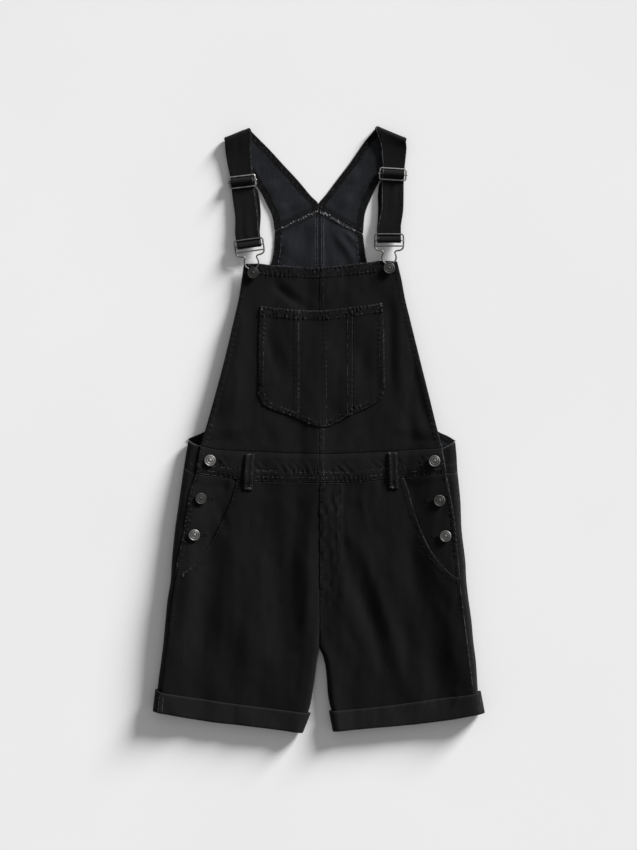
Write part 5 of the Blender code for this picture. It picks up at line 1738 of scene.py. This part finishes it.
def sew_straps():
    for side in SIDES:
        grid, normals, from_left, front = STRAP_GRIDS[side]
        width = from_left[:, -1]
        rows = np.arange(len(grid))
        facing = np.where(front, 1.0, -1.0)[:, None]
        for part, inset in ((front, 2.0), (front, 6.6), (~front, 1.8), (~front, BACK_HEM - 1.3)):
            for place in (np.full(len(grid), inset), width - inset):
                neck = (place[0] > width[0] / 2) == (side == "left")
                kind = "tack_thread" if neck and inset == 2.0 else "black_thread"
                low = np.clip((from_left <= place[:, None]).sum(axis=1) - 1, 0, grid.shape[1] - 2)
                start, end = from_left[rows, low], from_left[rows, low + 1]
                t = ((place - start) / (end - start))[:, None]
                out = normals[rows, low] * facing
                skin = lerp(grid[rows, low], grid[rows, low + 1], t) + out * STRAP / 2
                lay_on(skin[part], out[part], kind)


def lay_on(points, normals, kind):
    """Stitches along a line of points that already lies on a surface."""
    if len(points) < 3:
        return
    both = resample(np.hstack([points, normals]), PITCH)
    middles, ups = both[:, :3], both[:, 3:]
    for middle, run, up in zip(middles, directions(middles), ups):
        a, b = Vector(middle - run * STITCH / 2), Vector(middle + run * STITCH / 2)
        STITCHES[kind].append((a, b, Vector(up).normalized(), THREAD, 0.05))


# Studio

def studio():
    scene = bpy.context.scene
    scene.view_settings.view_transform = "Standard"
    bpy.ops.mesh.primitive_plane_add(size=FLOOR_SIZE, location=(0, 0, -FLOOR_DROP * MM))
    floor = bpy.context.object
    floor.name = "Floor"
    floor.data.materials.append(paper_floor())
    world = bpy.data.worlds.new("Studio")
    scene.world = world
    world.use_nodes = True
    sky = world.node_tree.nodes["Background"]
    sky.inputs["Color"].default_value = (1.0, 1.0, 1.0, 1.0)
    sky.inputs["Strength"].default_value = SKY_STRENGTH
    key = bpy.data.lights.new("Key", "SUN")
    key.energy = KEY_STRENGTH
    key.angle = math.radians(KEY_SPREAD)
    turn, rise = math.radians(KEY_TURN), math.radians(KEY_RISE)
    source = Vector((math.cos(turn) * math.cos(rise), math.sin(turn) * math.cos(rise), math.sin(rise)))
    lamp = bpy.data.objects.new("Key", key)
    lamp.rotation_euler = source.to_track_quat("Z", "Y").to_euler()
    view = bpy.data.cameras.new("Camera")
    view.sensor_fit = "HORIZONTAL"
    view.sensor_width = FILM
    view.lens = FILM * CAMERA_HEIGHT / PHOTO_WIDTH
    view.clip_end = 50.0
    camera = bpy.data.objects.new("Camera", view)
    camera.location = (CAMERA_POINT[0] * MM, CAMERA_POINT[1] * MM, CAMERA_HEIGHT * MM)
    scene.camera = camera
    for thing in (lamp, camera):
        scene.collection.objects.link(thing)


for make in (studio, back_panels, back_bibs, front_panels, hip_yokes, waistbands, back_band,
             belt_loops, bibs, chest_pocket, cuffs, straps, sliders, hooks, buttons, sew_sides,
             sew_middle, sew_pocket, sew_cuffs_and_back, sew_straps):
    make()
for kind in THREADS:
    stitch_mesh(kind)
